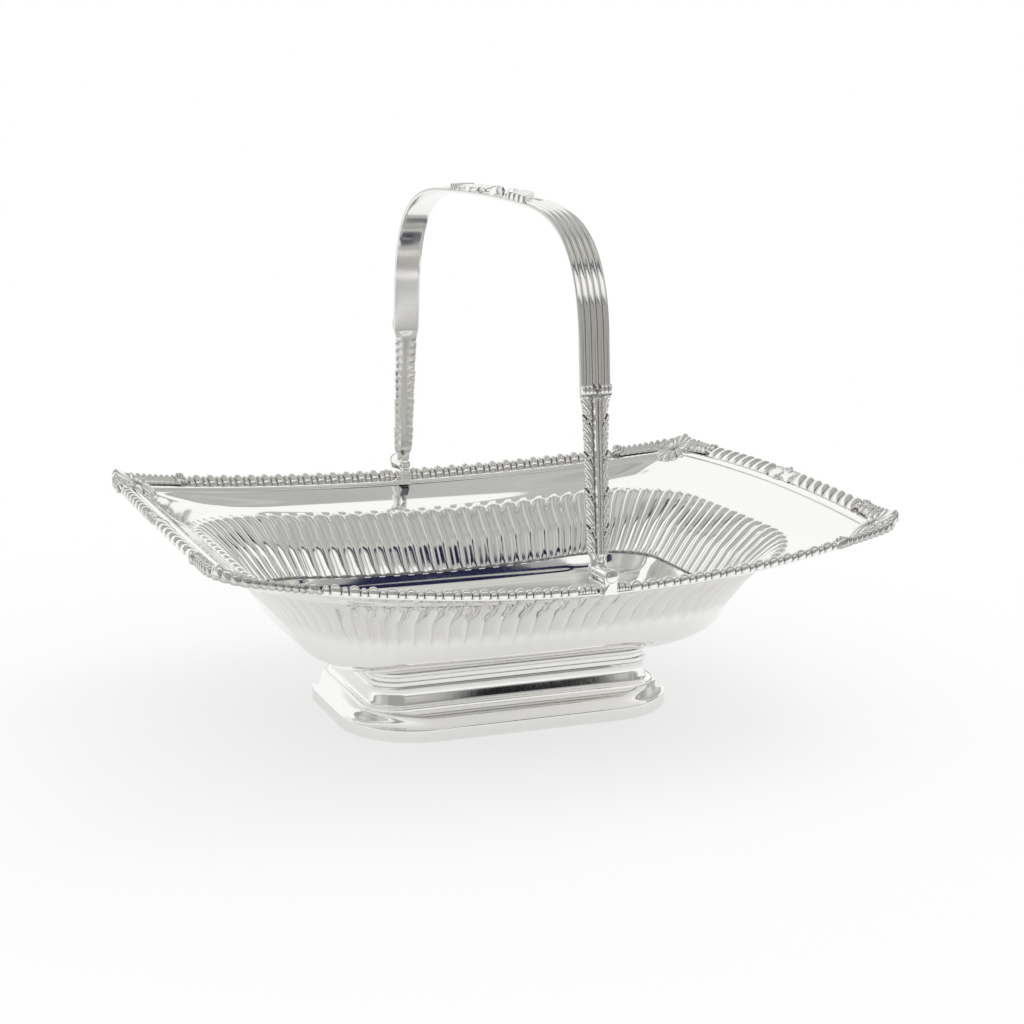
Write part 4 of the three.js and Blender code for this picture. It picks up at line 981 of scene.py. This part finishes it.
def makeBracket(side, turn):
    outer, pinZ, half = hinge["outer"], hinge["pinZ"], hinge["width"] / 2
    inner, plateStart = outer - hinge["length"], outer - hinge["plate"]
    base, waist = rim["height"] + rim["sheet"], half - 0.55
    angle = np.linspace(-0.25, math.pi + 0.25, 40)
    head = np.stack([half * np.cos(angle), pinZ + half * np.sin(angle)], 1)
    lower = [(-waist, pinZ - 3.2), (-waist, base + 2.2), (-half + 0.25, base + 0.9), (-half, base),
             (0, base), (half, base), (half - 0.25, base + 0.9), (waist, base + 2.2), (waist, pinZ - 3.2)]
    plate = plateFromOutline(f"hingePlate_{side}", [*head, *lower], plateStart, outer, 0.45, turn,
                             (0, pinZ - 2.5))
    polishedPiece(plate, f"hinge_bracket_{side}")
    # collar round the pin's head
    ring = [(0, 3.3), (0.3, 3.3), (0.42, 3.1), (0.42, 2.85), (0.3, 2.7), (0, 2.7), (0, 3.3)]
    polishedPiece(lathe(f"hingeCollar_{side}", ring, outer - 0.05, turn, dark=(4, 5)))
    # strap under the barrel, stepped towards the bowl
    top = pinZ - hinge["knuckle"] - 0.7
    seat = lambda y: rim["height"] + flangeFace - rim["slope"] * (rim["y"] - y)
    bevel, sections = 0.35, []
    for y, low, high, wide in ((inner + 0.4, seat(inner) + 1.5, top - 1.6, 2.3),
                               (inner + 1.4, seat(inner) + 1.45, top - 0.5, 3.0),
                               (inner + 3.5, seat(inner + 3) + 1.4, top, 3.3),
                               (rim["y"] - 2, seat(rim["y"] - 2) + 1.3, top, 3.4),
                               (rim["y"] + 0.4, base + 0.1, top, 3.4),
                               (plateStart + 0.2, base + 0.1, top, 3.4)):
        corner = [(wide, high - bevel), (wide - bevel * 0.3, high - bevel * 0.3), (wide - bevel, high)]
        loop = [(-wide, low), *((-x, z) for x, z in corner), *corner[::-1], (wide, low)]
        sections.append([(x, y * turn, z) for x, z in loop])
    polishedPiece(tubeFromSections(f"hingeStrap_{side}", np.array(sections), 30))
    # turned knob that closes the inner end, on its stem
    knob = [(0, 0), (0, 0.9), (0.25, 1.8), (0.7, 2.5), (1.2, 2.75), (1.7, 2.7), (2.05, 2.35), (2.2, 2.0),
            (2.35, 2.3), (2.4, 2.0), (2.4, 0)]
    polishedPiece(lathe(f"hingeKnob_{side}", knob, inner, turn))
    stem = [(-2.1, top - 1.5), (-1.9, pinZ - 1.8), (-1.2, pinZ - 0.8), (1.2, pinZ - 0.8), (1.9, pinZ - 1.8),
            (2.1, top - 1.5), (2.4, seat(inner) + 1.6), (-2.4, seat(inner) + 1.6)]
    centre = (0, (top + hinge["postFoot"]) / 2)
    polishedPiece(plateFromOutline(f"hingePost_{side}", stem, inner + 0.7, inner + 2.2, 0.3, turn, centre))


def makePin(side, turn):
    radius, inward = hinge["head"], 1.5
    long = hinge["length"] - inward
    profile = [(0, 0), (0, hinge["pin"]), (long + 0.25, hinge["pin"]), (long + 0.25, radius - 0.1),
               (long + 0.4, radius), (long + 0.65, radius), (long + 0.85, radius - 0.18),
               (long + 0.95, radius - 0.5), (long + 1.0, radius * 0.5), (long + 1.0, 0)]
    start = hinge["outer"] - hinge["length"] + inward
    polishedPiece(lathe(f"hingePin_{side}", profile, start, turn, dark=(2, 3)), f"hinge_pin_{side}")


# the bail's line starts at the near hinge, and the far pieces are the near ones turned round
for side, turn in (("near", 1), ("far", -1)):
    makeLeaf(f"leafLeg_{side}", turn, f"handle_leaf_{side}")
    makeKnuckle(f"hingeBarrel_{side}", -turn)
    makeBracket(side, -turn)
    makePin(side, -turn)
print("handle ready")


crown = {"wrap": 34.0, "band": 17.5, "tip": 14.0, "gap": 0.3, "high": 2.4, "wide": 7.95, "ribs": 4,
         "bend": 0.25, "aside": 3.0}


def overCrown(name, start, end, steps, relief, node, skew, aside):
    # relief gives the width, height and painted shade of the ornament at a share of its length and across
    # it;
    # skew is how far its first and last cross line run along the bail
    share = np.linspace(0, 1, steps)[:, None]
    across = np.sin(np.linspace(-1, 1, 41) * math.pi / 2)[None, :]
    wide, high, dark = relief(share, across)
    fall = dome(((np.abs(across) - 0.8) / 0.2).clip(0, 1))
    out = handle["thick"] - 1.0 * (1 - fall) + high * (0.15 + 0.85 * fall)
    low = handle["thick"] + np.repeat([[-1.5, 0.0, 0.0, -1.5]], steps, 0) * 0.7
    loopX = np.concatenate([wide * across, wide * (1.0, 0.86, -0.86, -1.0)], 1) + aside
    place = bailHalf + start + (end - start) * share
    lean = (skew[0] + (skew[1] - skew[0]) * share) * loopX / crown["wide"]
    sections = besideBail(place + lean, loopX, np.concatenate([out, low], 1))
    # painted shade from the relief, and on the under side rows
    tone = np.concatenate([dark * np.ones_like(out), np.full((steps, 4), 0.6)], 1)
    castPiece(name, sections, 60, np.clip(tone, 0, 1), node, body="handle")


def ribRelief(share, across):
    rib = dome(lobePlace(share * crown["ribs"] + crown["bend"] * across ** 2)) ** 0.9
    edge = smoothStep(np.minimum(share, 1 - share) / 0.09)
    high = crown["high"] * (0.25 + 0.75 * rib) * (0.05 + 0.95 * edge)
    # painted shade between the ribs
    return crown["wide"] - 0.55 * (1 - rib[:, :1]), high, (1 - rib) ** 0.7


def wrapRelief(share, across):
    # two leaves that cross the bail on a slant; each ends in a ruffled edge
    leaflet = (share * 1.55 + 0.6 * across + 0.25) % 1
    sweep = 0.12 + 0.88 * np.sin(leaflet * math.pi * 0.62)
    ruffle = smoothStep((leaflet - 0.72) / 0.08) * smoothStep((1 - leaflet) / 0.05)
    beads = np.abs(np.sin(across * 13 + share * 5)) ** 0.7
    gully = bell(leaflet - 0.72, 0.035) + bell(np.minimum(leaflet, 1 - leaflet), 0.03)
    line = bell(leaflet - 0.35 - 0.1 * across, 0.02)
    high = crown["high"] * (sweep * 0.85 - 0.3 * ruffle * (1 - beads) - 0.28 * gully - 0.1 * line)
    edge = smoothStep(np.minimum(share, 1 - share) / 0.045)
    wide = crown["wide"] - 1.3 * np.sin(np.pi * 2 * share) ** 2
    # painted shade in the gullies, the ruffles and along the line
    return wide, high * (0.08 + 0.92 * edge), gully + ruffle * (1.15 - beads) * 0.9 + 0.3 * line


def tipRelief(share, across):
    # pointed leaf with a midrib
    wide = crown["wide"] * 0.44 * (1 - share) ** 0.85 * (1 - 0.14 * np.abs(np.sin(share * 14))) + 0.1
    vein = np.abs(np.sin((share * 5.5 - np.abs(across) * 1.3) * math.pi)) ** 0.5
    spine = bell(across, 0.13)
    high = crown["high"] * 0.12 * (0.5 + 0.5 * vein) + 0.2 * spine
    # painted shade between the veins, none on the midrib
    return wide, high * np.clip((1 - share) * 6, 0.1, 1) ** 0.5, (1 - vein) * (1 - spine)


bandStart, tipStart = crown["wrap"] + crown["gap"], crown["wrap"] + crown["band"] + 2 * crown["gap"]
ornament = (  # label, start, end, steps, relief, skew, place beside the bail's middle
    ("Wrap", crown["gap"] / 2, crown["wrap"], 190, wrapRelief, (3, 6), 0),
    ("Band", bandStart, bandStart + crown["band"], 110, ribRelief, (6, 13), 0),
    ("Tip", tipStart, tipStart + crown["tip"], 80, tipRelief, (13, 13), crown["aside"]))
for side, sense in (("near", -1), ("far", 1)):
    for label, start, end, steps, relief, skew, aside in ornament:
        overCrown(f"crown{label}_{side}", sense * start, sense * end, steps, relief,
                  f"crown_{label.lower()}_{side}", skew, -sense * aside)
print("crown ready")


# studio: pale floor, soft light, and cards that only the metal sees

studio = {
    "floor": (0.93, 0.93, 0.925), "floorSize": 9, "sky": 0.97, "lamp": 5.0, "lampPlace": (0.95, 0.45, 1.7),
    "lampSize": 1.3, "fadeStart": 0.14, "fadeEnd": 0.5, "seenWhite": 0.6, "mirroredWhite": 0.42,
    "roomDark": (0.37, 0.372, 0.37), "roomLight": (0.65, 0.645, 0.615),
    "cards": (  # name, middle, width, height, colour; each faces the basket
        ("backdrop", (0.0, 2.4, 1.0), 5.4, 2.0, (1.0, 1.0, 1.0)),
        ("window", (-0.3, -1.43, 1.36), 3.4, 0.74, (1.0, 1.0, 1.0)),
        ("gap", (-0.2, -0.96, 1.66), 3.0, 0.16, (0.012, 0.014, 0.05)),
        ("sideGap", (0.611, -0.782, 1.62), 0.46, 0.22, (0.012, 0.014, 0.05)),
        ("sill", (-0.3, -1.76, 1.02), 3.4, 0.12, (0.02, 0.022, 0.05)),
        ("front", (0.0, -2.3, 0.6), 5.0, 1.1, (0.36, 0.355, 0.34)),
        ("lens", (0.79, -2.05, 0.12), 0.24, 0.36, (0.008, 0.008, 0.01)),
        ("right", (2.3, -0.9, 0.5), 1.6, 0.9, (0.3, 0.3, 0.3)),
    ),
    "frontFloor": ((-2.5, 2.5), (-3.0, -0.52), 0.003, (0.28, 0.28, 0.27)),  # flat: x, y, z, colour
}


def makeCard(name, place, width, height, colour, turn=(0, 0, 0)):
    dropSelection()
    bpy.ops.mesh.primitive_plane_add(size=1, location=place)
    card = bpy.context.object
    card.name = card.data.name = name
    card.scale = (width, height, 1)
    card.rotation_euler = turn
    material, tree, shader = newMaterial(name)
    tree.nodes.remove(shader)
    glow = addNode(tree, "Emission", {"Color": (*colour, 1)})
    fillInputs(tree.nodes["Material Output"], {"Surface": glow.outputs["Emission"]})
    card.data.materials.append(material)
    card.visible_camera = card.visible_diffuse = card.visible_shadow = False


def floorMaterial():
    # away from the basket the floor runs into the white background
    material, tree, shader = newMaterial("paleFloor")
    fillInputs(shader, {"Base Color": (*studio["floor"], 1), "Roughness": 0.6, "Specular IOR Level": 0.0})

    def combine(kind, *values):
        return addNode(tree, "Math", dict(enumerate(values)), operation=kind).outputs[0]

    reach = addNode(tree, "VectorMath", {0: objectPlace(tree)}, operation="LENGTH").outputs["Value"]
    fade = addNode(tree, "MapRange", {"From Min": studio["fadeStart"], "From Max": studio["fadeEnd"],
                                      "Value": reach}, interpolation_type="SMOOTHSTEP").outputs["Result"]
    ray = addNode(tree, "LightPath").outputs
    whiteShare = combine("MULTIPLY", fade, combine("MAXIMUM", ray["Is Camera Ray"], ray["Is Glossy Ray"]))
    for kind, least in (("Camera", studio["seenWhite"]), ("Glossy", studio["mirroredWhite"])):
        whiteShare = combine("MAXIMUM", combine("MULTIPLY", ray[f"Is {kind} Ray"], least), whiteShare)
    white = addNode(tree, "Emission")
    blend = addNode(tree, "MixShader", {"Fac": whiteShare, 1: shader.outputs["BSDF"],
                                        2: white.outputs["Emission"]})
    fillInputs(tree.nodes["Material Output"], {"Surface": blend.outputs["Shader"]})
    return material


def makeSky():
    # white behind the basket, a grey room in the metal, and an even light on the floor
    world = bpy.data.worlds.new("studioSky")
    bpy.context.scene.world = world
    world.use_nodes = True
    tree = world.node_tree
    ray = addNode(tree, "LightPath").outputs
    direct = addNode(tree, "MapRange", {"To Min": studio["sky"], "To Max": 1.0,
                                        "Value": ray["Is Camera Ray"]})
    strength = addNode(tree, "Mix", {"Factor": ray["Is Glossy Ray"], "A": direct.outputs["Result"],
                                     "B": 1.0})
    around = addNode(tree, "TexCoord").outputs["Generated"]
    cloud = addNode(tree, "TexNoise", {"Scale": 2.6, "Detail": 3, "Vector": around})
    patch = addNode(tree, "MapRange", {"From Min": 0.38, "From Max": 0.62, "Value": cloud.outputs["Fac"]})
    room = addNode(tree, "Mix", {"Factor": patch.outputs["Result"], "A": (*studio["roomDark"], 1),
                                 "B": (*studio["roomLight"], 1)}, data_type="RGBA")
    colour = addNode(tree, "Mix", {"Factor": ray["Is Glossy Ray"], "A": (1, 1, 1, 1),
                                   "B": room.outputs["Result"]}, data_type="RGBA")
    fillInputs(tree.nodes["Background"], {"Color": colour.outputs["Result"],
                                          "Strength": strength.outputs["Result"]})


def makeStudio():
    dropSelection()
    bpy.ops.mesh.primitive_grid_add(x_subdivisions=40, y_subdivisions=40, size=studio["floorSize"])
    floor = bpy.context.object
    floor.name = floor.data.name = "studioFloor"
    floor.data.materials.append(floorMaterial())
    aim = lambda place: Vector(place).to_track_quat("Z", "Y").to_euler()
    for name, place, width, height, colour in studio["cards"]:
        makeCard(name + "Card", place, width, height, colour, aim(place))
    (x0, x1), (y0, y1), z, colour = studio["frontFloor"]
    makeCard("frontFloorCard", ((x0 + x1) / 2, (y0 + y1) / 2, z), x1 - x0, y1 - y0, colour)
    makeSky()
    bpy.ops.object.light_add(type="AREA", location=studio["lampPlace"])
    lamp = bpy.context.object
    lamp.name = "softTop"
    lamp.data.energy, lamp.data.size = studio["lamp"], studio["lampSize"]
    lamp.rotation_euler = aim(studio["lampPlace"])
    lamp.visible_glossy = False


makeStudio()
bpy.context.scene.view_settings.view_transform = "Standard"
print("studio ready")

dropSelection()
